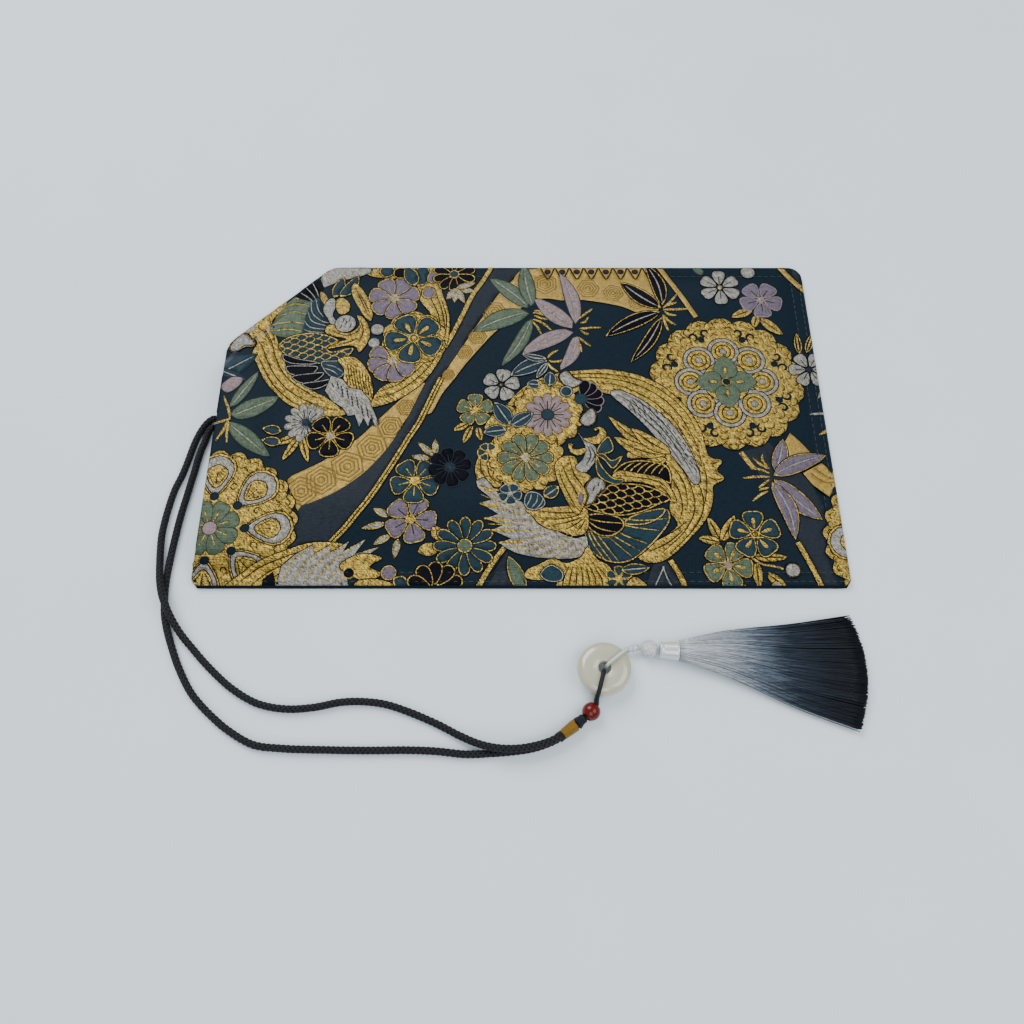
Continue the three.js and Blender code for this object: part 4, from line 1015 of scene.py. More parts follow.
# %% [markdown]
# Two rows of topstitching hold the border flat. Each stitch is a short bowed thread whose ends sink
# into the cloth. A stitch has only a few dozen faces, because there are hundreds of them.

# %% Topstitching
stitch_silk = thread_finish("stitch_silk", "#05070c", "#181e28", 0.4, 5.0, 2.0, Sheen_Weight=0.1)


def clip_at(x, inset):
    return MOUTH_HEIGHT + x * CLIP_SLOPE - inset * CLIP_SECANT


def stitch_row(corners, stitch=2.35, gap=0.6, radius=0.17):
    """Stitches along straight runs between corners, as tubes that follow the cloth."""
    made = []
    for a, b in zip(corners, corners[1:]):
        a, b = np.array(a), np.array(b)
        count = int(np.linalg.norm(b - a) / (stitch + gap))
        for k in range(count):
            wobble = 0.12 * (pick.random() - 0.5)
            start = (k + 0.5 * gap / (stitch + gap)) / count
            t = start + np.linspace(0, 1, 6) * (stitch / (stitch + gap)) / count
            side = np.array([-(b - a)[1], (b - a)[0]]) / np.linalg.norm(b - a) * wobble
            spots = a + (b - a) * t[:, None] + side
            rise = np.array([-0.22, 0.08, 0.13, 0.13, 0.08, -0.22])
            z = on_front(spots[:, 0], spots[:, 1]) + rise
            made.append((np.column_stack([spots, z]), radius * np.array([0.6, 1, 1.1, 1.1, 1, 0.6])))
    return made


inner, outer = 5.8, 2.1
top_turn = (POUCH_DEPTH - inner - clip_at(0, inner)) / CLIP_SLOPE
inner_corners = [(1.2, inner), (POUCH_WIDTH - inner, inner), (POUCH_WIDTH - inner, POUCH_DEPTH - inner),
                 (top_turn, POUCH_DEPTH - inner), (1.2, clip_at(1.2, inner))]
outer_corners = [(3, outer), (POUCH_WIDTH - outer - 0.3, outer),
                 (POUCH_WIDTH - outer - 0.3, POUCH_DEPTH - 8)]
stitches = stitch_row(inner_corners) + stitch_row(outer_corners)
topstitching = bundle("topstitching", stitches, 6, "pouch", stitch_silk)
print(len(stitches), "stitches,", len(topstitching.data.polygons), "faces")


# %% [markdown]
# ## Drawing the brocade
#
# The figures of the brocade are woven with extra threads of gold, silver and dyed silk, which stand a
# little above the ground. They are traditional ones: phoenixes in roundels, flower medallions, bamboo,
# plum blossoms and a tortoiseshell ribbon. Each is drawn as closed outlines in pouch millimetres, from
# the bottom one to the top one. All outlines then go into one triangulation, which tells for each
# triangle which outline lies on top, so the thread fields fit each other edge to edge.

# %% Outlines
FIGURES = []


def weave(thread, outline):
    FIGURES.append((thread, np.asarray(outline, float)))


def told(part):
    print("drawn:", part, "-", len(FIGURES), "outlines so far")


def through(points, closed=False, per=5):
    """A smooth line through the points."""
    p = np.asarray(points, float)
    ends = (p[-1:], p[:2]) if closed else (2 * p[:1] - p[1:2], 2 * p[-1:] - p[-2:-1])
    p = np.vstack([ends[0], p, ends[1]])
    t = (np.arange(per) / per)[:, None]
    out = [0.5 * (2 * b + (c - a) * t + (2 * a - 5 * b + 4 * c - d) * t**2
                  + (3 * b - a - 3 * c + d) * t**3) for a, b, c, d in zip(p, p[1:], p[2:], p[3:])]
    return np.vstack(out if closed else [*out, p[-2:-1]])


def blob(thread, points, edge=None, rim=0.5):
    """A rounded field through the points, with a rim of another thread if wanted."""
    outline = through(points, closed=True, per=4)
    if edge:
        weave(edge, outline)
        outline = shrunk(outline, rim)
    weave(thread, outline)


def field(thread, points, per=3):
    """A rounded field through the points, without a rim."""
    weave(thread, through(points, closed=True, per=per))


def gilt(points):
    """A gold field with a thin dark rim."""
    blob("gold", points, "shade", 0.25)


def shrunk(outline, by):
    """The outline moved inwards."""
    ahead, behind = np.roll(outline, -1, axis=0), np.roll(outline, 1, axis=0)
    along = unit(ahead - behind)
    x, y = outline.T
    way = 1 if np.sum(x * np.roll(y, -1) - y * np.roll(x, -1)) > 0 else -1
    return outline + way * by * np.column_stack([-along[:, 1], along[:, 0]])


def line(thread, points, width=0.5, taper=False, per=5):
    """A line of thread of a given width. A tapered one ends in points."""
    path = through(points, per=per) if len(points) > 2 else np.asarray(points, float)
    along = unit(np.gradient(path, axis=0))
    t = np.linspace(0, 1, len(path))
    half = width / 2 * (np.sin(np.pi * (0.06 + 0.88 * t)) ** 0.6 if taper else np.ones_like(t))
    side = np.column_stack([-along[:, 1], along[:, 0]]) * half[:, None]
    weave(thread, np.vstack([path + side, (path - side)[::-1]]))


# %% [markdown]
# Dots, rings, flowers and leaves are laid out round a centre or along a line from base to tip.

# %% Dots, rings, flowers and leaves
def polar(centre, radius, angle):
    """The place at a distance and angle from a centre; a list of angles gives a list of places."""
    a = np.radians(angle)
    return np.array([centre[0] + radius * np.cos(a), centre[1] + radius * np.sin(a)]).T


def spot_of(thread, centre, radius, edge=None, rim=0.45):
    """A round dot, with a rim of another thread if wanted."""
    turns = np.linspace(0, 360, 6 + int(5 * radius**0.5) * 2, endpoint=False)
    if edge:
        weave(edge, polar(centre, radius, turns))
        radius -= rim
    weave(thread, polar(centre, radius, turns))


def circlet(thread, centre, radius, width, start=0, stop=360):
    """A ring of thread, or a part of one between two angles."""
    turns = np.linspace(start, stop, max(6, int(abs(stop - start) / 360 * 8 * radius**0.6)))
    line(thread, polar(centre, radius, turns), width, per=2)


def scalloped(thread, centre, radius, lobes, depth=0.035):
    """A round field with a scalloped edge."""
    turns = np.arange(0, 360, 360 / (lobes * 6))
    wave = np.abs(np.sin(np.radians(turns * lobes / 2)))
    weave(thread, polar(centre, radius * (1 - depth * 2 * (1 - wave)), turns))


def petal_outline(centre, angle, inner, outer, half, notch=0.0, taper=0.32):
    """A petal that reaches from inner to outer, notched at its tip or, if notch is below 0, pointed."""
    around = np.radians(np.arange(-168, 192, 24))
    mid, reach = (inner + outer) / 2, (outer - inner) / 2
    u = mid + reach * np.cos(around) - notch * reach * np.exp(-((around / 0.5) ** 2))
    v = half * np.sin(around) * (1 - taper + taper * np.cos(around))
    a = math.radians(angle)
    return np.column_stack([centre[0] + u * math.cos(a) - v * math.sin(a),
                            centre[1] + u * math.sin(a) + v * math.cos(a)])


def blossom(fill, centre, radius, petals, turn=90, edge="gold", heart=("gold", 1.6), notch=0.14,
            rim=0.5, angles=None, inner=0.14, vein=None, stamen=None):
    """A flower seen from above. Each petal has a rim of the edge thread."""
    half = radius * math.tan(math.pi / petals) * (0.74 if petals < 7 else 0.95)
    angles = [turn + 360 * k / petals for k in range(petals)] if angles is None else angles
    for angle in angles:
        weave(edge, petal_outline(centre, angle, inner * radius, radius, half, notch))
        weave(fill, petal_outline(centre, angle, inner * radius + rim, radius - rim, half - rim, notch))
        if vein:
            line(vein, [polar(centre, radius * r, angle) for r in (0.2, 0.62)], 0.45)
        if stamen:
            weave(stamen, petal_outline(centre, angle, 0.24 * radius, 0.66 * radius, 0.1 * radius))
    if heart:
        spot_of(heart[0], centre, heart[1], edge if heart[0] != edge else None)


def leaf(fill, base, tip, width, edge="gold", vein=None, bend=0.0, rim=0.45, full=0.85):
    """A pointed leaf from base to tip, curved sideways by `bend`."""
    base, tip = np.array(base, float), np.array(tip, float)
    length = np.linalg.norm(tip - base)
    ahead = (tip - base) / length
    side = np.array([-ahead[1], ahead[0]])

    def outline(half, cut):
        t = np.linspace(cut, 1 - cut, 11)
        mid = base + np.outer(t * length, ahead) + np.outer(bend * np.sin(np.pi * t), side)
        out = half * np.sin(np.pi * np.clip(t, 0, 1) ** full)[:, None] ** 0.8 * side
        return np.vstack([mid + out, (mid - out)[::-1][1:-1]])

    weave(edge, outline(width / 2, 0.0))
    weave(fill, outline(width / 2 - rim, min(0.2, 1.6 * rim / length)))
    if vein:
        t = np.linspace(0.08, 0.86, 5)
        mid = base + np.outer(t * length, ahead) + np.outer(bend * np.sin(np.pi * t), side)
        line(vein, mid, 0.6, taper=True, per=3)


def gold_leaf(base, tip, width):
    leaf("gold", base, tip, width, "shade", "shade", rim=0.3)


# %% [markdown]
# Scales and feathers are fields with fine lines over them. A scale's line is kept only where it lies
# inside the body.

# %% Scales, plumes and curls
def inside(outline, spots):
    """Which of the spots lie inside the outline, whichever way round it runs."""
    (x1, y1), (x2, y2) = outline.T[:, :, None], np.roll(outline, -1, axis=0).T[:, :, None]
    x, y = spots.T[:, None, :]
    left = (x2 - x1) * (y - y1) - (x - x1) * (y2 - y1)
    upward, downward = (y1 <= y) & (y2 > y), (y1 > y) & (y2 <= y)
    return (np.sum(upward & (left > 0), axis=0) - np.sum(downward & (left < 0), axis=0)) != 0


def scales(fill, points, size, turn=0, edge="gold"):
    """A body covered in scales, with thin lines of the edge thread between them."""
    outline = through(points, closed=True, per=4)
    weave(edge, outline)
    weave(fill, shrunk(outline, 0.45))
    low, high = outline.min(axis=0) - size, outline.max(axis=0) + size
    a = math.radians(turn)
    middle, reach = (low + high) / 2, np.linalg.norm(high - low) / 2
    rows = int(reach / (size * 0.62)) + 1
    columns = int(reach / size) + 1
    around = np.radians(np.arange(-95, 96, 19))
    for row in range(-rows, rows + 1):
        for column in range(-columns, columns + 1):
            u, v = column * size * 0.62, (row + 0.5 * (column % 2)) * size * 0.62
            p, q = u + 0.55 * size * np.cos(around), v + 0.31 * size * np.sin(around)
            shape = middle + np.column_stack([p * math.cos(a) - q * math.sin(a),
                                              p * math.sin(a) + q * math.cos(a)])
            within = shape[inside(outline, shape)]
            if len(within) >= 5:
                line(edge, within, 0.42, per=1)


def plumes(thread, fans):
    """Lines between feathers. Each is a list of points."""
    for points in fans:
        line(thread, points, 0.5, taper=True)


def curl(thread, centre, radius, start, sweep, width):
    """A short spiral that winds inwards."""
    turns = np.linspace(start, start + sweep, 9)
    line(thread, polar(centre, radius * (1 - 0.62 * np.linspace(0, 1, 9)), turns), width, taper=True,
         per=2)


# %% Flower medallions
def pointed_medallion(centre, radius):
    """A gold medallion with pointed silver lobes round a green flower."""
    scalloped("gold", centre, radius, 26)
    for k in range(52):
        circlet("shade", polar(centre, radius * 0.9, 6.9 * k), 1.5, 0.4, 6.9 * k - 80, 6.9 * k + 80)
    for k in range(40):
        turn = 9 * k + 4.5
        circlet("shade", polar(centre, radius * 0.78, turn), 1.7, 0.36, turn - 75, turn + 75)
    for k in range(8):
        angle = 45 * k
        for thread, low, high, half, point in (
                ("gold", 0.4, 0.93, 0.29, -0.1), ("shade", 0.41, 0.91, 0.262, -0.1),
                ("silver", 0.43, 0.9, 0.25, -0.1), ("shade", 0.5, 0.79, 0.175, -0.2),
                ("gold", 0.51, 0.78, 0.165, -0.2)):
            weave(thread, petal_outline(centre, angle, low * radius, high * radius, half * radius, point))
        for off in (-9, 0, 9):
            line("shade", [polar(centre, 0.55 * radius, angle + off * 0.3),
                           polar(centre, 0.7 * radius, angle + off)], 0.4)
        spot_of("ground", polar(centre, 0.4 * radius, angle), 0.056 * radius)
        curl("shade", polar(centre, 0.56 * radius, angle + 22.5), 1.8, angle, 300, 0.5)
    blossom("sage", centre, 0.37 * radius, 8, turn=22.5, edge="shade", heart=None, rim=0.3, vein="gold")
    spot_of("pink", centre, 0.09 * radius, "shade", 0.3)


def round_medallion(centre, radius):
    """A gold medallion with eight ringed lobes round a green cross of petals."""
    scalloped("gold", centre, radius, 18)
    for k in range(36):
        at = polar(centre, radius * (0.93 if k % 2 else 0.87), 10 * k)
        circlet("shade", at, 2.1, 0.42, 10 * k - 85, 10 * k + 85)
    for ring, count, size in ((0.79, 24, 2.2), (0.7, 24, 1.6), (0.9, 48, 1.1)):
        for k in range(count):
            turn = 360 * (k + 0.5) / count
            circlet("shade", polar(centre, radius * ring, turn), size, 0.36, turn - 75, turn + 75)
    for k in range(8):
        middle = 45 * k + 22.5
        spot_of("ground", polar(centre, 0.7 * radius, middle), 0.045 * radius)
        for way in (-1, 1):
            at = polar(centre, 0.79 * radius, middle + 7 * way)
            curl("ground", at, 2.3, middle + 180, 300 * way, 1.2)
    for ring, thread in ((0.215, "shade"), (0.205, "silver"), (0.16, "shade"), (0.15, "gold")):
        for k in range(8):
            spot_of(thread, polar(centre, 0.465 * radius, 45 * k), ring * radius)
    for k in range(8):
        at = polar(centre, 0.465 * radius, 45 * k)
        circlet("shade", at, 0.1 * radius, 0.5)
        spot_of("silver", at, 0.05 * radius, "shade", 0.25)
    spot_of("gold", centre, 0.3 * radius)
    for k in range(4):
        shares = (0.03, 0.11, 0.24, 0.41)
        start, low, high, tip = [polar(centre, share * radius, 90 * k) for share in shares]
        leaf("sage", start, tip, 0.33 * radius, "shade", rim=0.3, full=0.72)
        leaf("gold", low, high, 1.8, "shade", rim=0.25)
    spot_of("ground", centre, 0.06 * radius, "gold", 0.3)


def tortoiseshell(centre, turn, size):
    """Nested hexagons, as on the gold ribbon."""
    for share in (1.0, 0.74, 0.48, 0.24):
        corners = polar(centre, size * share, np.arange(7) * 60 + turn)
        for a, b in zip(corners, corners[1:]):
            line("bronze", [a, b], 0.42)


# %% [markdown]
# ## The figures, from the bottom up
#
# The ribbon goes in first, then the medallions, the two phoenixes, the flowers and the bamboo, because
# that is the order in which they overlap on the cloth.

# %% Ribbon
field("kikko", [(31.5, 46), (38, 50.5), (45, 54.5), (52, 60), (58, 64.5), (63, 70), (69, 77),
    (75, 83.5), (80, 88), (84, 91.5), (86, 90), (84, 86), (80.5, 79), (76, 71), (73, 64.5), (69, 58),
    (63, 50.5), (57, 45), (50, 40), (42, 36), (37, 32.5), (35, 38)])
for spot_at, turn, size in (((37.5, 41), 40, 6.5), ((45, 46), 38, 6.5), ((55, 52), 42, 7),
        ((64.5, 60.5), 48, 6.5), ((71.5, 70), 55, 5.5), ((77.5, 79.5), 58, 4)):
    tortoiseshell(spot_at, turn, size)
field("kikko", [(85, 78), (89, 88), (93, 97), (98, 106), (104, 117), (110, 128), (116, 138.5),
    (122, 145.5), (127, 153), (155, 153), (181, 153), (186, 148), (183, 141), (186, 131), (183, 127),
    (177, 127), (170, 130.5), (160, 133), (150, 134.5), (143, 134), (137, 135), (130, 134),
    (124, 128.5), (117, 120.5), (112, 115), (106, 107), (101, 100), (97, 93.5), (92, 86), (88, 77)])
for spot_at, turn, size in (((101, 107), 60, 3.6), ((106.5, 115), 60, 4), ((113.5, 128), 58, 5.5),
        ((136, 143), 30, 5.5), ((155, 140.5), 0, 5), ((166, 138), -10, 4.5), ((176, 133), -20, 3.5),
        ((94.5, 95.5), 62, 2.6)):
    tortoiseshell(spot_at, turn, size)
for x in np.arange(134, 182, 6.5):
    line("shade", [(x, 152), (x + 1.5, 148.5), (x + 3.2, 145.6), (x + 5, 148.5), (x + 6.3, 152)], 0.7)
    spot_of("slate", (x + 3.2, 149.6), 1.5, "shade", 0.3)
field("slate", [(37, 32.5), (42, 36), (50, 40), (57, 45), (63, 50.5), (69, 58), (73, 64.5), (77, 72),
    (81, 82), (85, 92), (88, 99), (91, 108), (95, 116), (100, 128), (105, 138), (110, 146), (113, 153),
    (126, 153), (121, 145.5), (116, 139.5), (109, 128), (103, 117), (98, 106), (93, 98), (89, 90),
    (85, 80), (82, 73), (79, 65), (75, 57.5), (70, 47.5), (64, 38), (60, 31), (56, 25.5), (51, 20),
    (36, 14)])
double = [(51, 19), (56, 25), (60, 31), (65, 38.5), (70, 47.5), (75, 57), (79, 65), (83, 72.5),
    (86, 80), (89, 88), (91.5, 94)]
line("gold", double, 2.2)
line("shade", double, 0.5)
line("gold", [(92.5, 109.5), (96, 117), (100, 127), (104, 137), (108.5, 145), (113, 154)], 1.9)
line("kikko", [(186, 154), (191, 145), (196, 136), (201.5, 125)], 2.2)
line("slate", [(182, 153), (186, 145), (188, 141)], 3.6)
weave("slate", [(245, 153), (252, 153), (252, 141), (247, 146.5)])
line("kikko", [(240.5, 153), (245, 146), (251, 138.5)], 2.4)
weave("slate", [(214.5, 58.5), (219, 51), (224, 42), (228, 33), (231, 25), (233.5, 18), (236, 9),
    (239.5, -2), (247, -2), (243.5, 8), (242.5, 15), (243, 22), (245, 30), (244, 38), (241, 44),
    (237, 49), (232, 54), (228, 60), (226, 63)])
line("gold", [(214, 58.5), (218.5, 51)], 1.8)
line("gold", [(232, 19), (236, 9), (239.7, -2)], 1.9)
weave("kikko", [(235, 67.5), (239, 63), (242.8, 57.5), (233, 56.5), (230.5, 60)])
weave("kikko", [(238, 49), (246, 53.5), (252, 48), (251, 44), (247, 38.5), (241, 44)])
line("bronze", [(241, 49), (246, 45), (250, 45)], 0.5)
line("bronze", [(243, 51), (248, 47), (251, 47)], 0.5)
weave("slate", [(109.5, -2), (119, 15), (122, 11), (128, -2)])
line("gold", [(107.5, -1), (113, 9), (118.8, 17.5)], 1.9)
weave("slate", [(171, -1), (176, 11), (183, 11), (187, -1)])
line("silver", [(175, 0), (177.5, 5), (179.5, 9)], 0.5)
line("silver", [(179, 9), (180.5, 4), (183, -1)], 0.5)
line("gold", [(182, 11.5), (185, 6), (188, -2)], 2.0)
told("ribbon")

# %% Medallions
pointed_medallion((3.3, 25), 34.3)
pointed_medallion((276, 19), 34)
round_medallion((211.5, 92), 32.5)
told("medallions")

# %% Phoenix of the upper left
blob("gold", [(60, 153), (75, 154), (88, 153), (89, 143), (81, 142), (74, 146), (66, 146), (57, 148)])
blob("gold", [(8, 116), (12, 112), (10.5, 106.5), (13, 101), (17, 93), (22, 87), (27, 82), (33, 78.5),
    (40, 76.3), (47, 75.3), (53, 76.5), (49, 80), (44, 84), (36, 88.5), (30, 93), (26, 98), (24, 104),
    (21, 111), (19, 117), (17, 123), (21, 129), (22, 133), (15, 127), (10, 121)])
plumes("shade", [[(10, 115), (14, 110), (17, 103), (22, 94), (30, 86), (40, 80.6), (50, 77.5)],
    [(14, 119), (18, 112), (21, 103), (26, 94.5), (35, 87), (44, 82)], [(12, 107), (16, 99), (21, 90.5),
    (29, 82.8), (38, 78)], [(15, 126), (17.5, 119), (19.5, 112)], [(11, 120), (15, 116), (18, 111)]])
field("sage", [(17, 117), (18, 123), (21, 130), (26, 136), (29.5, 137.5), (34, 132), (33, 127),
    (31, 121), (31, 116), (24, 114.5)])
plumes("gold", [[(17, 120), (24, 122.4), (32, 121.5)], [(18, 124.5), (25, 127.5), (32.5, 126.5)],
    [(20, 129), (26, 132), (33.5, 130.5)], [(17, 117.5), (24, 118.6), (31, 117.5)], [(24, 133.6),
    (29, 135.5), (33.5, 133.6)]])
weave("navy", [(26, 136), (29, 141), (34, 146.5), (38.5, 141.5), (36, 137), (33.5, 133)])
plumes("silver", [[(28, 138), (31.5, 135.5), (34, 133)], [(30, 141), (33, 137.5), (35, 134.5)],
    [(32.5, 144), (35, 139), (36, 136)]])
weave("silver", [(35.5, 147), (38, 141), (41, 142.5), (46, 145), (52, 146.5), (58, 149), (60, 153),
    (41, 153)])
leaf("teal", (43, 135.5), (46.5, 146.5), 5)
leaf("teal", (45.5, 136), (53, 147.5), 5.5, bend=-1)
field("teal", [(34.5, 134.5), (32, 129), (31, 122), (31, 116.5), (37, 116.5), (41, 119), (39, 123),
    (37, 128), (37, 134)])
plumes("silver", [[(33, 134), (34, 127.5), (38, 123.3), (41.5, 122)], [(32, 128), (34.5, 122.8),
    (41, 120.3)], [(31, 123), (34, 119.7), (41, 118.5)], [(35, 134.5), (36.5, 129), (39, 125.3)],
    [(31, 118.6), (35, 117.2), (40, 117)]])
leaf("gold", (40.5, 131), (36.8, 139), 3.4, "shade", rim=0.25)
blob("silver", [(38.5, 129), (40, 134), (43, 135.2), (44.3, 131), (43.3, 126), (46, 121.5), (43, 120.5),
    (41, 124)], "shade", 0.25)
gilt([(44, 134), (47, 135.5), (50.3, 132), (50, 128), (47, 126.3), (44.5, 128.5)])
gilt([(50, 141), (52, 143.5), (56, 139), (59, 133), (60.6, 127), (60, 122.8), (57, 125), (54, 130),
    (51, 136)])
plumes("shade", [[(52, 141), (55, 134), (58.5, 126)], [(53.5, 139), (56.5, 133), (59.5, 126.5)]])
gilt([(41, 120.5), (44, 121), (48, 117), (52, 117.5), (55, 121), (53.5, 126), (57, 124.5), (60, 118),
    (59.5, 112), (56, 106.5), (54, 109.5), (50, 110), (42, 108.3), (46, 112), (50, 113.5), (44, 115),
    (40.5, 117)])
plumes("shade", [[(55, 124), (57, 118), (55.5, 111)], [(43, 118.5), (49, 115.5), (54, 117), (56, 121)],
    [(45, 110), (51, 112), (55, 114)]])
spot_of("silver", (49, 121.6), 4.7, "shade", 0.3)
for x, y in ((47, 120), (49, 122), (51, 120.5), (47.8, 123.5), (50.5, 124)):
    line("slate", [(x, y - 1), (x + 0.5, y + 1)], 0.45)
scales("teal", [(21.5, 111), (26, 115), (34, 116.7), (41, 115.7), (47, 112.3), (42, 109.6), (44, 107),
    (53, 109), (51, 104.3), (45, 101.3), (36, 101.3), (28, 104), (23, 107)], 5.2, 8)
for shape in ([(24, 105.8), (30, 103.6), (38.5, 101.8), (36, 100.6), (28, 101), (24, 103)],
        [(25.5, 99.5), (32, 100), (39, 99.4), (36, 95.5), (28, 95.6)], [(28.5, 94.6), (35, 96),
        (42, 96.4), (38, 92), (32, 91.5)], [(33, 91), (40, 92.3), (46.5, 93.5), (42, 89.5),
        (37, 88.3)]):
    blob("navy", shape, "silver", 0.35)
blob("teal", [(40, 101.5), (45, 102.5), (50.5, 101.5), (49.5, 94.5), (44, 95)], "silver", 0.4)
plumes("silver", [[(42, 100.5), (46, 99.5), (49.5, 97)], [(41, 99), (45, 97.5), (48, 95.3)]])
gilt([(47, 103), (53, 104.8), (58, 101), (61.5, 95), (63.3, 88), (62.5, 82), (58, 86), (53, 88),
    (50.3, 92), (50, 98)])
for k in range(9):
    x = 51.5 + 1.3 * k
    line("shade", [(x, 101 - 0.9 * k), (x + 0.8, 95.5 - 0.9 * k)], 0.4)
    line("shade", [(x - 0.4, 96 - 0.8 * k), (x + 0.9, 91 - 0.8 * k)], 0.4)
weave("silver", [(45, 95), (50, 93), (53, 89), (58, 88), (62, 83), (64, 77.5), (66.5, 72.3),
    (65.3, 70.5), (62.8, 74.5), (62.2, 70.5), (60, 74.5), (58.5, 70.3), (56.4, 76), (53.5, 75.5),
    (51, 79.5), (46.5, 82.5), (43, 87.5)])
for k in range(26):
    x, y = 45.6 + 0.75 * k + 1.2 * (k % 3), 91.5 - 0.78 * k + 1.6 * (k % 2)
    line("slate", [(x, y), (x + 0.9, y - 2.3)], 0.4)
blob("gold", [(63, 80), (72, 82.5), (78, 86.5), (84, 92), (89, 100), (92, 107), (93.7, 113),
    (94.2, 120), (93.5, 128), (91, 136), (88.5, 142.5), (82, 144), (79.5, 141), (81, 134), (85, 128),
    (88, 122), (89, 115), (85, 106), (80, 99), (74, 93.5), (66, 88.5)])
plumes("shade", [[(64, 84), (73, 87), (81, 93.5), (87, 101), (90.5, 110)], [(65, 87), (73, 90.5),
    (80, 96.5), (85.5, 103.5)], [(91.8, 112), (92, 121), (90, 131), (86.5, 141)], [(90.3, 118),
    (89, 127), (85, 136), (83, 142)], [(92.8, 118), (92.6, 126), (90, 135)]])
spot_of("mauve", (84.5, 138), 3.1, "gold")
blossom("mauve", (69.5, 135.2), 11.8, 7, 15, heart=None, notch=0.1, vein="pink")
spot_of("silver", (69.5, 135.2), 2.0, "gold")
scalloped("gold", (79, 114), 14, 10, 0.05)
plumes("shade", [[(70, 124), (76, 127), (83, 126)], [(68, 107), (70, 103.5), (73, 102)]])
blossom("mauve", (70.5, 102.5), 11.3, 7, angles=[150, 196, 240, 284, 326],
    heart=None, notch=0.1, vein="pink")
spot_of("silver", (70.5, 102.5), 2.0, "gold")
blossom("teal", (79, 114), 13.2, 5, 45, heart=("gold", 2.4), notch=0.06, stamen="gold", inner=0.12)
circlet("shade", (79, 114), 1.5, 0.4)
spot_of("silver", (63, 118.6), 3.0, "slate", 0.25)
spot_of("silver", (62, 111.6), 2.6, "slate", 0.25)
spot_of("teal", (65.5, 150), 3.4, "gold")
spot_of("navy", (71.5, 149), 3.2, "gold")
leaf("teal", (80, 141.5), (82, 154), 8)
leaf("teal", (78.5, 142), (74, 153), 6.5)
blob("mauve", [(85, 150), (88, 147.5), (86.5, 143.3), (83.5, 145)], "gold")
blossom("navy", (95.5, 148.3), 9.8, 10, 18, heart=("teal", 2.2), notch=0)
for tip in ((104.5, 139), (105, 143.5), (100.5, 132.5), (96, 133), (92.5, 134.5)):
    leaf("silver", (96.5, 140.5), tip, 3.0, "gold")
told("phoenix of the upper left")

# %% Leaves at the left edge, white chrysanthemum and plum
leaf("teal", (-3, 95.5), (13, 106), 8.5, "slate", "silver")
leaf("teal", (-3, 98), (10, 92.5), 4.5, "slate", "silver")
blob("pink", [(-1, 90), (3, 94.5), (8, 93.8), (6.5, 89.5), (2, 86.5)], "slate", 0.3)
blob("silver", [(0.5, 108), (4, 106.5), (7.5, 109), (11, 110.5), (9, 114.2), (5, 116.5), (1, 112)],
    "gold")
blob("silver", [(6, 117), (8, 120.2), (11, 119.5), (9.5, 117)], "gold", 0.35)
for base, tip, width in (((4, 79), (14.5, 97.5), 5.4), ((4.5, 75), (24.5, 84.5), 9), ((4, 72.5),
        (23.5, 56), 8)):
    leaf("sage", base, tip, width, "slate", "silver")
for points in ([(1, 85), (3.6, 79), (5, 74)], [(-1, 72), (2, 73), (5, 74)], [(0.5, 64), (3, 69),
        (4, 73)], [(5, 63), (4.5, 68), (4.6, 73)]):
    line("gold", points, 1.1, taper=True)
for tip in ((24, 62), (28.3, 54.5), (39, 53.6)):
    gold_leaf((35, 66.5), tip, 3.9)
for centre in ((21.8, 68.8), (22.2, 63.4)):
    leaf("teal", (centre[0] + 5, centre[1] - 0.5), (centre[0] - 3, centre[1] + 0.8), 4.4)
blossom("silver", (36.5, 72.3), 9.6, 12, angles=[15, 45, 75, 105, 135, 165, 195, 225, 255, 285],
    notch=0.05, edge="slate", rim=0.3, heart=("teal", 1.7), vein="slate")
blossom("navy", (47, 66), 10.2, 5, 54, heart=("silver", 1.9), notch=0.1, vein="gold")
told("leaves at the left edge")

# %% Phoenix wing at the bottom
field("gold", [(11, -2), (18, 6), (25, 11.5), (33, 15.2), (42, 18.5), (50, 19), (57, 17.5), (50, 12),
    (40, 8), (34, 3), (30, -3)])
plumes("shade", [[(16, 1), (24, 8), (33, 12.5), (42, 16)], [(21, 0), (28, 6.5), (37, 11)], [(26, 0),
    (31, 5), (36, 8.5)]])
weave("silver", [(31, -2), (33, 9), (38, 14), (44.5, 18), (45, 14), (51, 18), (51, 14.5), (58, 19.3),
    (56, 15), (64.5, 20.3), (60.5, 14), (70, 17), (63, 11.5), (58, 6), (60, -2)])
plumes("gold", [[(34, 2), (36, 9), (40, 14), (45, 18)], [(38, 2), (41, 9), (45.5, 14), (51.5, 18)],
    [(42, 2), (45.5, 8.5), (51, 14), (58, 19)], [(46, 2), (50, 8), (56, 14.5), (64.5, 20)], [(50, 2),
    (54, 7), (61, 13.5), (70, 17)], [(54, 2), (58, 7), (63, 11.5)]])
weave("navy", [(26.5, 4), (30, 7), (31.5, 3), (31, -2), (26, -2)])
gilt([(55, 9.5), (63, 14.5), (71.5, 12.5), (67, 9), (72, 6), (66, 3), (60, 5)])
spot_of("navy", (59, 6.3), 2.4, "gold")
gilt([(62, 3), (70, 4), (78, 1), (72, -2), (62, -2)])
spot_of("mauve", (74.2, 6.4), 3.0, "gold")
blob("teal", [(76, 4), (80, 5), (82, 1), (78, -1)], "gold")
told("wing at the bottom")

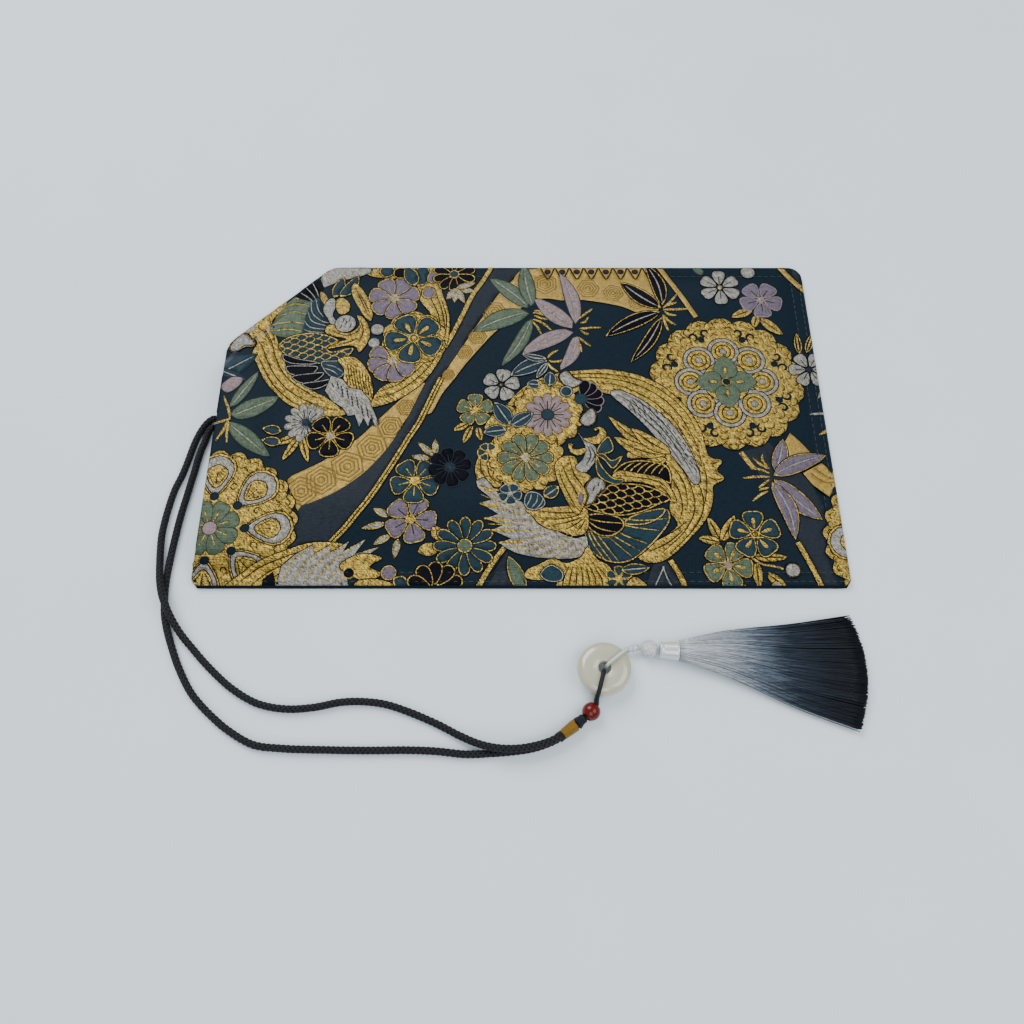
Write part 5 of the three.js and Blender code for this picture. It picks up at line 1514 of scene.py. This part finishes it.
# %% Flowers below the ribbon
for base, tip in (((72, 27), (62.5, 24.8)), ((73, 30), (66.5, 33.5)), ((74, 22), (67.5, 18)),
        ((77, 20.5), (76, 12.3))):
    leaf("silver", base, tip, 2.9, "gold", rim=0.6)
blossom("mauve", (81.5, 28.8), 10.9, 5, -4, heart=("gold", 1.9), vein="shade")
blossom("teal", (82.5, 45.6), 10.6, 5, -92, heart=("gold", 1.9), vein="gold")
for base, tip in (((89.5, 57), (83, 63)), ((90.3, 57), (90, 64.5)), ((88, 55.5), (80.5, 56.8))):
    leaf("silver", base, tip, 2.7, "gold", rim=0.6)
blossom("navy", (96.3, 51.7), 9.6, 8, 10, edge="slate", heart=("teal", 1.8), vein="slate")
leaf("gold", (93, 16.5), (84.5, 15.5), 6, "shade", rim=0.25)
leaf("gold", (94, 20), (90.5, 26), 5.5, "shade", rim=0.25)
blossom("teal", (103, 17.5), 12.4, 12, 0, heart=("sage", 2.9), notch=0.0)
blossom("navy", (92, 0), 11.2, 9, angles=[20, 55, 90, 125, 160], heart=None, notch=0)
leaf("sage", (126, -2), (119.8, 13.5), 6, "gold", None)
blossom("sage", (106, 78.4), 8.1, 5, 90, heart=("gold", 1.3), vein="gold")
for base, tip in (((103.5, 72), (97, 68.5)), ((105, 71), (101.2, 62.3)), ((107, 70.5), (108.8, 63.5))):
    gold_leaf(base, tip, 3.4)
blossom("silver", (116.7, 90.5), 8.4, 5, 80, edge="slate", rim=0.3, heart=("gold", 1.0), vein="slate")
told("flowers below the ribbon")

# %% Great phoenix: ring, crest and wings
blob("gold", [(119, 80), (125, 88), (133, 93.5), (143, 96.7), (152, 97.7), (160, 98.2), (168, 97),
    (176, 94.6), (184, 90), (190, 84), (195, 77), (198.5, 69), (199.7, 62), (201, 56.5), (206, 54.5),
    (203.5, 50.5), (206, 46.5), (201.5, 43.5), (201, 39), (199.5, 33), (196, 27), (191, 21.5),
    (184, 14.5), (178, 10.8), (172, 11), (170, 14), (178, 20), (186, 26), (183.5, 32), (184, 38),
    (185, 45), (184, 53), (178, 56), (168, 56), (171, 61), (180, 63), (177, 70), (171, 78), (165, 84.5),
    (158, 87), (150, 88), (143, 84), (135, 86), (125, 82)])
plumes("shade", [[(120, 82), (130, 91), (143, 95), (158, 96), (173, 93.5), (184, 87.5), (193, 77.5),
    (197.5, 66)], [(128, 88), (142, 93), (157, 94), (171, 91.5), (182, 85.5), (190, 76.5), (196, 63),
    (198, 52)], [(150, 91), (163, 91), (174, 86.5), (183, 79.5), (190, 70), (195, 58)], [(184, 58),
    (190, 50), (193, 41), (193, 32), (188, 23), (179, 14.5)], [(187, 57), (194, 48), (197, 38),
    (195.5, 30), (190, 22), (182, 14)], [(183, 50), (187, 43), (188.5, 35), (187, 28)], [(198.5, 54),
    (199, 44), (197, 34)], [(185, 54), (190, 44), (190.5, 33)], [(176, 19), (184, 23.5), (190, 28)],
    [(174, 15), (182, 19), (189, 25)], [(201, 53), (203, 53.5), (205, 54.5)], [(200, 47), (203, 46),
    (205.5, 46.5)]])
field("silver", [(162.5, 86), (166, 87.8), (173, 84.5), (180, 79), (187, 71.5), (192.5, 62),
    (195.5, 53), (196.5, 46), (194, 44), (190.5, 50), (186, 57), (181, 64), (176, 71), (170.5, 77.5)])
plumes("slate", [[(165, 86), (172, 81), (179, 74), (185, 66), (190, 57), (194.5, 47)], [(167, 87),
    (175, 81.5), (182, 74), (188, 65), (193, 54)], [(169, 81), (175, 75), (181, 68), (186, 60),
    (190, 52.5)]])
for row in range(5):
    for k in range(13):
        u = (k + 0.5 * (row % 2)) / 13
        turn = math.radians(62 - 64 * u)
        reach = 29.5 + 9.5 * u + (row - 2) * 2.3 * math.sin(math.pi * (0.12 + 0.8 * u))
        x, y = 157 + reach * math.cos(turn), 50.5 + reach * math.sin(turn) * (1.16 - 0.16 * u)
        line("slate", [(x - 0.5, y + 1.0), (x + 0.6, y - 1.0)], 0.42)
for base, tip, width, bend in (((184, 58), (161, 75.5), 5.5, 2), ((184, 57), (162.5, 66), 6, 2),
        ((184, 56), (167, 54.5), 6, 3), ((186, 58), (170, 70), 6, 1)):
    leaf("gold", base, tip, width, "shade", "shade", bend, rim=0.25)
blob("navy", [(162, 48), (165.5, 53), (172, 54.8), (180, 53.8), (184.3, 51), (184.6, 44.5), (180, 46.5),
    (172, 48.5)], "gold")
plumes("gold", [[(165 + 3 * k, 48.6), (167.2 + 3 * k, 51.5), (170.5 + 3 * k, 53.8)] for k in range(6)])
gilt([(160.5, 46), (164, 50.2), (172, 49), (180, 47.3), (184, 43.5), (186.5, 36), (181, 38),
    (178, 42.8), (172, 44.8), (165, 45)])
plumes("shade", [[(163, 48), (172, 47), (180, 45), (184, 41)], [(180, 44), (183, 40), (184, 37.5)]])
blob("teal", [(150, 27), (155, 22), (161, 22), (166, 27), (175, 29.5), (182, 33.3), (183, 28),
    (178, 21), (172, 15), (166, 11), (159, 10.7), (153, 14), (150, 19)], "gold", 0.5)
blob("teal", [(165, 27), (170, 31), (181, 33.6), (180, 30), (173, 26.5)], "gold", 0.5)
plumes("gold", [[(150.5, 27), (152, 20), (157, 11.5)], [(151, 28), (156, 20), (162, 11.3)], [(152, 28),
    (160, 20), (167.5, 13)], [(155, 29), (164, 22.5), (173.5, 18.5)], [(158, 29), (168, 25.5),
    (178.5, 24)], [(151, 26), (154, 19.5), (159.5, 11)], [(160, 29.5), (172, 28.3), (182, 29)],
    [(153.5, 27), (161, 21.5), (170.5, 15.5)]])
blob("navy", [(149, 30), (156, 31.3), (163.5, 29.5), (165, 25.5), (160.5, 21.8), (155, 22),
    (150, 26.5)], "gold")
plumes("gold", [[(149.5, 29.5), (156, 27.8), (164.5, 27)], [(150, 29), (155, 25), (162, 23.2)]])
scales("navy", [(150, 36), (157, 40.5), (160.5, 43.8), (168, 44.4), (176, 43), (184, 38), (178, 34.6),
    (172, 31.8), (164, 30.3), (156, 31.5), (150.5, 33.5)], 5.4, -12)
field("silver", [(107.5, 47), (110, 49), (113, 43.5), (117, 39), (125, 36.3), (129, 32), (134, 26.5),
    (140, 23), (146, 20.5), (150.3, 21.5), (149.8, 14.5), (144, 12.3), (136, 12.3), (128, 13.3),
    (122, 15), (116.5, 18.8), (121, 20.5), (113.7, 24.2), (118, 26.3), (110.8, 29.2), (116, 31),
    (108.6, 35.8), (113.5, 37.3), (107.7, 42.5)], per=2)
blob("gold", [(127, 33.2), (136, 33.8), (146, 34.5), (151, 32.5), (150.5, 24), (146, 21.8), (141, 23.3),
    (133, 26), (129.5, 30)])
plumes("gold", [[(108, 43.5), (115, 38.7), (124, 34.3), (131, 32)], [(108.8, 35.8), (116, 33.3),
    (124, 31.2), (132, 30.5)], [(110.8, 29.2), (118, 28.6), (126, 27.7), (134, 27.3)], [(113.7, 24.2),
    (121, 23.9), (129, 24), (138, 25)], [(116.7, 18.8), (124, 19.6), (131, 21.2), (140, 24)],
    [(122.5, 14.8), (130, 15.8), (136, 18.2), (144, 23)], [(130, 12.8), (137, 15.3), (142, 19.2),
    (146, 23)], [(137, 12.2), (142, 15.3), (146, 20)], [(143.5, 12.2), (147, 16), (149, 21)],
    [(109, 39.5), (117, 36), (125, 33)], [(112, 26.8), (120, 26.3), (128, 25.9)], [(119.5, 16.6),
    (127, 17.4), (134, 19.9)]])
for tips in ([(107.6, 43.5), (112, 41.6)], [(108.4, 35.8), (113, 34.6)], [(110.4, 29.2), (115.6, 28.6)],
        [(113.3, 24.2), (118.5, 23.9)], [(116.2, 18.8), (121.5, 19)]):
    line("gold", [tips[0], tips[1], (tips[1][0] + 4, tips[1][1] - 0.1)], 1.5, taper=True)
plumes("shade", [[(131, 32.5), (140, 31.5), (149, 32)], [(133, 29), (141, 29), (149.5, 31)],
    [(137, 26.3), (143, 27.5), (149.8, 30)], [(142, 24.3), (146, 26.5), (150, 29.5)], [(146.5, 23.3),
    (148.5, 26), (150, 28.5)]])
gilt([(107.2, 46), (106.3, 52), (108.5, 58), (111, 55), (114.5, 56.5), (114, 50), (117.5, 44.5),
    (114.5, 42.5), (110, 47)])
plumes("shade", [[(108.5, 56), (109, 50), (112, 45)], [(111.5, 54), (112, 49), (115, 44)]])
told("wings of the great phoenix")

# %% Great phoenix: collars of flowers, neck and head
blob("gold", [(110, 70), (114, 66), (112, 61), (114, 57), (118, 62), (122, 70), (130, 66), (134, 70),
    (124, 78), (117, 80)])
scalloped("gold", (136, 76), 15, 13, 0.06)
scalloped("gold", (126.7, 56), 15.8, 14, 0.06)
for k in range(13):
    circlet("shade", polar((136, 76), 12.6, 27.7 * k), 1.4, 0.4, 27.7 * k - 80, 27.7 * k + 80)
    circlet("shade", polar((126.7, 56), 13.2, 27.7 * k), 1.6, 0.4, 27.7 * k - 80, 27.7 * k + 80)
blossom("pink", (136, 76), 10.6, 12, 0, edge="shade", rim=0.25, heart=("teal", 2.8),
    notch=0.05, vein="shade")
blossom("sage", (126.7, 56), 11.7, 10, 0, edge="gold", rim=0.35, heart=("silver", 2.0),
    notch=0.08, vein="gold")
blossom("navy", (150, 83.5), 9.8, 9, angles=[-33, -6, 22, 50, 76], heart=None, notch=0, edge="pink",
    rim=0.4)
spot_of("teal", (150, 83.5), 2.8, "slate", 0.3)
blob("silver", [(141, 95), (144.5, 97.5), (147.5, 94), (151, 92), (147, 89), (143, 90.5)], "gold", 0.4)
blob("silver", [(149, 73.5), (153.5, 79), (156, 77), (155.5, 72.5), (152, 70.5)], "gold", 0.4)
spot_of("teal", (144, 87.3), 2.6, "silver", 0.5)
for base, tip, width in (((120.5, 71.5), (114, 82), 7), ((121, 71), (130, 77), 6), ((119, 69),
        (109.5, 67.6), 5.4), ((137, 90), (137.5, 97), 5.4), ((133, 90.5), (127.5, 91), 4.5)):
    leaf("teal", base, tip, width, "silver", "silver", rim=0.35)
blossom("teal", (111.5, 58.5), 4.6, 5, angles=[60, 120, 180, 240], heart=("gold", 1.0))
blossom("teal", (120.5, 39.8), 5.0, 5, 60, heart=("silver", 0.8), edge="silver", rim=0.35)
blob("teal", [(126, 36), (127.5, 40.5), (132, 40), (134.5, 36), (132.5, 33.3), (128, 33)], "silver",
    0.4)
plumes("silver", [[(127, 34.5), (128.5, 37.5), (129, 40)], [(129, 33.8), (131, 36.5), (131.5, 39.5)],
    [(131, 33.5), (132.8, 35.5), (133.5, 37.5)]])
leaf("teal", (134, 38.5), (140, 43), 5.5, "gold", "silver")
gilt([(138.5, 53), (142, 56.8), (147, 56.3), (148.5, 51), (153, 47.3), (150, 43.5), (151.3, 39),
    (149.5, 34), (147, 30.5), (144, 34), (141, 41), (139, 47)])
plumes("shade", [[(141, 54), (143.5, 47), (147, 40), (148.5, 34)], [(144.5, 55.5), (146, 49),
    (149.5, 43)], [(140, 51), (141.5, 45), (144.5, 38), (147, 33)]])
blob("silver", [(150.5, 42.5), (153.5, 46.8), (157.5, 46.3), (158.6, 42.5), (155.5, 39.5), (153.5, 36),
    (150.3, 35), (151.5, 39)], "gold", 0.45)
for x, y in ((153.5, 42), (155.5, 44), (156.3, 41.5)):
    line("slate", [(x, y - 1), (x + 0.6, y + 1)], 0.45)
blob("silver", [(148.3, 67.5), (151.5, 63.8), (155, 61.5), (156.3, 57), (154, 52.8), (150.5, 49),
    (146.5, 51.5), (149.8, 55.5), (151, 60), (150, 63.5)], "shade", 0.25)
plumes("slate", [[(152, 61.5), (153.2, 57), (151, 52.5)], [(153.8, 60.5), (154.8, 57), (153, 53.5)]])
gilt([(150, 64.8), (153, 65.5), (156, 66.5), (157, 69), (155.3, 68.2), (155, 69.7), (157.8, 70.3),
    (160, 67.5), (159, 63.5), (155.5, 62), (152.5, 63)])
gilt([(144, 62.5), (146.5, 62), (145.8, 60.3), (148, 60), (151, 60.5), (151, 58.3), (148, 56.8),
    (144.8, 58.5)])
blob("teal", [(155.8, 58.5), (157, 62), (160, 65.5), (161.5, 64.5), (162.5, 60), (160, 58)], "gold",
    0.4)
blob("teal", [(155.3, 57.3), (158.5, 55), (162, 51), (166, 56.8), (161.5, 54.8), (158.5, 57.8)], "gold",
    0.4)
blob("teal", [(155, 51), (157, 46.5), (163, 43.8), (166, 46), (161.5, 47), (157.5, 52), (155.5, 57)],
    "gold", 0.4)
blob("mauve", [(147, 36), (148, 40.5), (150, 39.5), (149.5, 36)], "gold", 0.35)
told("head of the great phoenix")

# %% Foliage along the bottom and flowers at the lower right
blob("gold", [(127, 7.5), (132, 10), (137, 12.3), (142, 10.3), (148, 13), (150.5, 17), (154, 12),
    (158.5, 9), (161, 3), (160, -2), (140, -2), (138, 4), (132, 3.5), (126.5, 4.5)])
plumes("shade", [[(140 + 2.6 * k, -1), (141 + 2.4 * k, 4), (143 + 1.6 * k, 9)] for k in range(8)])
blob("teal", [(132, 6), (136, 9.7), (140.5, 7), (140, 3.3), (135, 3)], "silver", 0.4)
blossom("teal", (162, 4), 5.6, 6, 30, heart=("gold", 1.2))
leaf("teal", (163, 7.5), (174, 8.5), 4.6, "gold", "silver")
gilt([(164, 1), (168, 5), (173, 1), (172, -2), (164, -2)])
gold_leaf((214, 13), (227.5, 12.6), 4.2)
gold_leaf((215, 11), (215, 0), 4.2)
gold_leaf((218.5, 6.5), (226, -1), 4.4)
line("gold", [(213, 13), (217, 10), (222, 9), (225, 8)], 0.8)
spot_of("silver", (228.6, 7.5), 3.0, "gold", 0.4)
blob("silver", [(219.5, 1), (222, 3), (224.5, 0), (223, -2), (219.5, -2)], "gold", 0.4)
blob("pink", [(206, 0), (209, 1.6), (212, 0), (211, -2), (206, -2)], "gold", 0.4)
for tip, width in (((198, 30), 4.4), ((193.3, 21), 4), ((209, 30.7), 4.8)):
    gold_leaf((202.3, 19), tip, width)
blossom("sage", (204, 9.6), 10.2, 5, -82, heart=("pink", 1.9), stamen="gold", vein=None)
blossom("teal", (215.8, 22.3), 10.7, 5, 91, heart=("gold", 1.7), stamen="gold")
circlet("shade", (215.8, 22.3), 1.0, 0.4)
told("flowers at the lower right")

# %% Bamboo sprays
def spray(fill, edge, vein, leaves, spurs, spur_thread="gold"):
    for base, tip, width, bend in leaves:
        leaf(fill, base, tip, width, edge, vein, bend)
    for points in spurs:
        line(spur_thread, points, 1.0, taper=True)


spray("sage", "slate", "silver", [((129, 130), (111, 146.5), 8, -0.8), ((130.5, 130.5), (126.8, 155),
    7.5, 1), ((129, 128), (104.3, 117.3), 9.5, -1.2), ((130, 125), (116.3, 99.5), 6.5, 1.6)],
    [[(130.5, 127.5), (133.5, 127), (136.5, 125.5)], [(130.5, 124), (134.5, 122), (138.5, 118)],
    [(130, 123), (132.5, 119.5), (134, 115.5)], [(131, 126), (134.5, 124.3), (137, 124)], [(131, 128.5),
    (133, 128.2), (134.5, 127.5)]])
spray("teal", "silver", "silver", [((136.3, 102.5), (120.5, 95), 7, -0.8), ((136, 103.5), (125.5, 106),
    3.6, 0.8), ((136.5, 101.5), (131.5, 93.8), 3.2, 0)], [[(136.5, 104), (138, 106), (141, 108)],
    [(137, 102.5), (140, 102), (143, 103)], [(136.5, 101.5), (138, 99), (141, 96.8)]])
spray("pink", "slate", "silver", [((149.5, 121), (142.5, 149.5), 7, -1.6), ((148.5, 119.5),
    (131, 135.5), 8.4, 0.6), ((148, 118), (125, 106), 8, -1), ((149, 116), (141, 97.5), 6.4, 2.2)],
    [[(150, 124), (153.5, 127), (156.5, 129.5)], [(151, 122), (153, 122.7), (154.5, 125)],
    [(150.5, 119), (155, 119.4), (159.7, 119.6)], [(151, 118), (153, 116.5), (154.5, 116)],
    [(150, 114.5), (152.5, 112), (155, 110)], [(149.8, 112), (150.6, 109.5), (151, 107)]])
spray("navy", "gold", "silver", [((186.5, 130), (169.5, 144), 7.4, 0.8), ((187.3, 131.5), (181, 154),
    6.4, -1.8), ((186, 128), (161.5, 115), 7, -1), ((186.5, 125), (171.7, 101.7), 5.4, 1.4)],
    [[(187.5, 130), (191, 133.5), (194.5, 138)], [(187.5, 129), (193, 129.3), (198.5, 129.5)],
    [(188, 128), (190, 126.5), (193, 126)], [(187, 126.5), (189.5, 123), (192.5, 121)], [(188, 131),
    (191, 132), (193.5, 133)], [(187, 126), (188, 121), (189, 118)]])
spray("mauve", "gold", "silver", [((227, 50), (231.8, 64.5), 6.2, -0.6), ((226, 48), (248.5, 57),
    7.6, 1.2), ((226, 46), (243, 28.5), 8.6, -0.8), ((225, 45), (231.3, 20), 7, 2.2)], [[(224.5, 47.3),
    (219, 47.4), (213.5, 46.8)], [(224.5, 49), (221, 50.5), (217, 51.5)], [(224, 46), (221.5, 44),
    (219.5, 42.5)], [(223, 41), (220, 39.5), (216.5, 36.7)], [(224.5, 51), (222.5, 54.5),
    (222.5, 57.5)], [(224, 51), (221, 53.3), (218.5, 56)], [(223.5, 42.5), (221, 42), (219.5, 41.5)]])
told("bamboo")

# %% Flowers of the upper right
leaf("sage", (207, 148), (202, 152.5), 4, "slate")
gold_leaf((226.5, 129), (216.5, 125), 4.6)
gold_leaf((229, 124.5), (238.3, 115.5), 5)
gold_leaf((228, 126), (226, 119.5), 4)
blossom("silver", (213.3, 141), 9.8, 6, 90, edge="slate", rim=0.35, heart=("gold", 1.4), vein="slate")
spot_of("silver", (226.5, 149.3), 3.4, "slate", 0.3)
blossom("mauve", (230.7, 134.3), 9.9, 5, 55, edge="pink", heart=("silver", 1.6), vein="shade")
for base, tip in (((244, 106), (244, 116.5)), ((247, 106.5), (251.5, 117))):
    leaf("ground", base, tip, 3.2, "gold", "gold")
blossom("silver", (247, 98), 9.2, 6, 60, edge="slate", rim=0.35, heart=("slate", 1.2), vein="slate")
line("silver", [(244.5, 76.2), (248, 76.5), (253, 76.5)], 1.0, taper=True)
line("gold", [(247, 66.7), (250, 68.2), (253, 70)], 1.3, taper=True)
line("silver", [(249, 84), (251, 87), (253, 88)], 1.2, taper=True)
told("flowers of the upper right")

# %% [markdown]
# ## Weaving the figures into the cloth
#
# The outlines were read off a flat view of the pouch, so each point is first brought to where it lies
# on the raised cloth. One Delaunay triangulation then takes all outlines, the edge of the panel and a
# fine lattice of inner points, so that the threads can follow the curve of the cloth. The triangles of
# each thread become one raised mesh with a small wall round it.

# %% Finishes of the threads
THREADS = {
    "gold": woven("gold_weft", "#33260a", "#f2cd5c", 0.5, 0.7, 0.4, 0.38, 1.0, 0.5, 0.35, 0.9),
    "kikko": woven("gold_ribbon", "#64501c", "#bd9e50", 0.45, 0.55, 0.3, 0.46, 0.6, 0.45),
    "silver": woven("silver_weft", "#46433b", "#b9b7ad", 0.3, 0.33, 0.25, 0.42, 0.7, 0.5, 0.25, 0.65),
    "sage": woven("sage_silk", "#232f26", "#5c6c56", 0.45, 0.6, 0.0, 0.5, 0.5, 0.45, 0.15),
    "teal": woven("teal_silk", "#0b1c26", "#1a353f", 0.45, 0.6, 0.0, 0.5, 0.5, 0.4, 0.12),
    "mauve": woven("mauve_silk", "#3c3540", "#716777", 0.45, 0.6, 0.0, 0.5, 0.5, 0.45, 0.15),
    "pink": woven("rose_silk", "#56494c", "#928080", 0.45, 0.6, 0.0, 0.5, 0.5, 0.45, 0.15),
    "navy": woven("ink_silk", "#010206", "#070915", 0.45, 0.6, 0.0, 0.6, 0.4, 0.4, 0.06),
    "slate": woven("slate_silk", "#0a1017", "#222a33", 0.4, 0.35, 0.0, 0.55, 0.5, 0.3, 0.12),
    "shade": woven("dark_edge_thread", "#120e04", "#352a0e", 0.45, 0.6, 0.1, 0.5, 0.5, 0.5, 0.1),
    "bronze": woven("bronze_thread", "#4a3810", "#806526", 0.45, 0.6, 0.2, 0.5, 0.5, 0.5),
}
RAISED = {"gold": 0.22, "silver": 0.2, "kikko": 0.12, "slate": 0.1, "shade": 0.1, "bronze": 0.08}

# %% Bring the outlines onto the cloth
EYE_FOOT, EYE_UP = np.array([121.27, -113.60]), 322.75


def brought_onto(outline, height):
    spot_now = np.asarray(outline, float)
    for _ in range(4):
        lift = height(spot_now[:, 0], spot_now[:, 1])
        spot_now = EYE_FOOT + (outline - EYE_FOOT) * (1 - lift[:, None] / EYE_UP)
    return spot_now


def panel_outline(inset):
    x = np.concatenate([[0, 0.4, 1, 2, 3], np.linspace(4, 245, 110), [246, 247, 248, 249, 249.5 - inset]])
    near = np.column_stack([x + drawn_back(x, near_edge(x, 0.5)), near_edge(x, 0.5) + inset])
    far = np.column_stack([x + drawn_back(x, far_edge(x, 0.5)), far_edge(x, 0.5) - inset])[::-1]
    y = np.linspace(far[-1, 1], near[0, 1], 60)[1:-1]
    mouth = np.column_stack([drawn_back(0 * y, y) + 0.05, y])
    return np.vstack([near, far, mouth])


def fields_of(figures, border, height, spacing=2.6):
    """Triangulates all figures together. Returns the points and, for each thread, its triangles."""
    outlines = [border, *[brought_onto(outline, height) for _, outline in figures]]
    inner = [(x + (spacing / 2 if row % 2 else 0), y)
             for row, y in enumerate(np.arange(1.5, POUCH_DEPTH, spacing * 0.87))
             for x in np.arange(1, POUCH_WIDTH, spacing)]
    points = np.vstack([*outlines, inner])
    edges, start = [], 0
    for outline in outlines:
        count = len(outline)
        edges += [(start + k, start + (k + 1) % count) for k in range(count)]
        start += count
    found = geometry.delaunay_2d_cdt([Vector(p) for p in points], edges, [], 0, 1e-4, False)
    print(len(figures), "figures,", len(points), "points")
    points, triangles = np.array([tuple(v) for v in found[0]]), np.array(found[2])
    middles = points[triangles].mean(axis=1)
    top = np.where(inside(border, middles), -1, -2)
    order = np.argsort(middles[:, 0])
    order = order[top[order] > -2]
    across = middles[order, 0]
    for number, outline in enumerate(outlines[1:]):
        (left, low), (right, high) = outline.min(axis=0), outline.max(axis=0)
        near = order[slice(*np.searchsorted(across, (left, right)))]
        near = near[(middles[near, 1] > low) & (middles[near, 1] < high)]
        top[near[inside(outline, middles[near])]] = number
    owner = np.array([thread for thread, _ in figures] + ["outside", "ground"])[top]
    return points, {thread: triangles[owner == thread] for thread in THREADS}


# %% Weave the figures
STANDS_FOR = {
    "gold": ("gold_weft", ["ribbon_edge", "left_medallion", "right_medallion", "round_medallion",
                           "left_phoenix_crest", "left_phoenix_sweep", "left_phoenix_head",
                           "bottom_wing_gold", "phoenix_ring", "phoenix_neck"]),
    "kikko": ("gold_weft", ["gold_ribbon", "gold_ribbon_end"]),
    "silver": ("silver_weft", ["round_medallion_lobes", "left_phoenix_tail", "white_chrysanthemum",
                               "bottom_wing_silver", "phoenix_wing_right", "phoenix_wing_left"]),
    "sage": ("sage_weft", ["left_medallion_flower", "round_medallion_flower", "left_phoenix_wing",
                           "edge_leaves", "sage_plum", "sage_chrysanthemum", "sage_plum_right",
                           "sage_bamboo"]),
    "teal": ("teal_weft", ["left_phoenix_body", "teal_plum", "teal_plum_near", "teal_chrysanthemum",
                           "phoenix_tail", "teal_plum_right"]),
    "mauve": ("mauve_weft", ["mauve_flower_far", "mauve_flower_near", "mauve_plum", "mauve_bamboo"]),
    "pink": ("rose_weft", ["rose_chrysanthemum", "rose_bamboo"]),
    "navy": ("navy_weft", ["navy_plum", "navy_chrysanthemum", "phoenix_body", "navy_bamboo"]),
    "slate": ("slate_weft", ["slate_ribbon", "slate_ribbon_right"]),
    "shade": ("gold_weft", []),
    "bronze": ("gold_weft", []),
}


def weave_figures(side, figures, border, height, base, outwards):
    """Makes one mesh for each thread. `outwards` is 1 where the cloth faces up and -1 where down."""
    points, by_thread = fields_of(figures, border, height)
    heights = base(points[:, 0], points[:, 1])
    for thread, triangles in by_thread.items():
        used, corners = np.unique(triangles, return_inverse=True)
        rise = outwards * (0.08 + RAISED.get(thread, 0.15)) * (1 if outwards > 0 else 0.6)
        places = np.column_stack([points[used], heights[used] + rise])
        faces = corners.reshape(triangles.shape)[:, ::outwards]
        field = mesh_of(f"{side}_{thread}_figures", places, faces, "pouch", THREADS[thread])
        applied(field, "SOLIDIFY", thickness=0.0004 if outwards > 0 else 0.0002, offset=-1,
                use_rim_only=True)
        finish_slot, nodes = STANDS_FOR[thread]
        if side == "front" and nodes:
            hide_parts(*nodes)
        print(field.name, len(field.data.polygons), "faces")


def edged(figures):
    """Puts a thin dark edge round each large gold and silver figure."""
    ready = []
    for thread, outline in figures:
        x, y = outline.T
        area = abs(np.sum(x * np.roll(y, -1) - y * np.roll(x, -1))) / 2
        if thread in ("gold", "silver", "kikko") and area > 18:
            ready.append(("navy", shrunk(outline, -0.38)))
        ready.append((thread, outline))
    return ready


FIGURES = edged(FIGURES)
weave_figures("front", FIGURES, panel_outline(0.12), on_front, on_front, 1)

# %% [markdown]
# The back is cut from the same cloth, and its figures run the same way when the pouch is turned over.
# It lies flat, so its outlines need no bringing up, and its threads face the table.

# %% Weave the back
mirrored = [(thread, outline * (1, -1) + (0, POUCH_DEPTH)) for thread, outline in FIGURES]
x = np.linspace(0, POUCH_WIDTH, 120)
border = np.vstack([np.column_stack([x, near_edge(x, 0) + 0.1]),
                    np.column_stack([x, far_edge(x, 0) - 0.1])[::-1]])
weave_figures("back", mirrored, border, lambda x, y: 0 * x, lambda x, y: 0 * x + 0.25, -1)


# %% [markdown]
# ## The strands, and the sizes at the end
#
# For each strand the code works out its start, its length in metres and its path in the frame, and it
# lists the pieces that ride on the over strand, but it passes them to nothing. At the end it takes the
# spans of the measured solids and of the visual pieces, and prints the visual one.

ON_THE_CORD = [gold_wrap, navy_wrap, bead, cord_loop, stone]
for name, start in (("over", (-0.35, 73.2, 1.9)), ("under", (-0.45, 68.8, 1.9))):
    strand, path, length = strands[name]
    place(*start)
    length / 1000
    [place(*p) for p in path]
    ON_THE_CORD if name == "over" else []

# %% Sizes, and finish
boxes = {"cad": [list(map(float, p)) for p in cad_box],
         "visual": [list(map(float, p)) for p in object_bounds()]}
print("visual spans", [round(1000 * (b - a), 1) for a, b in zip(*boxes["visual"])], "mm")
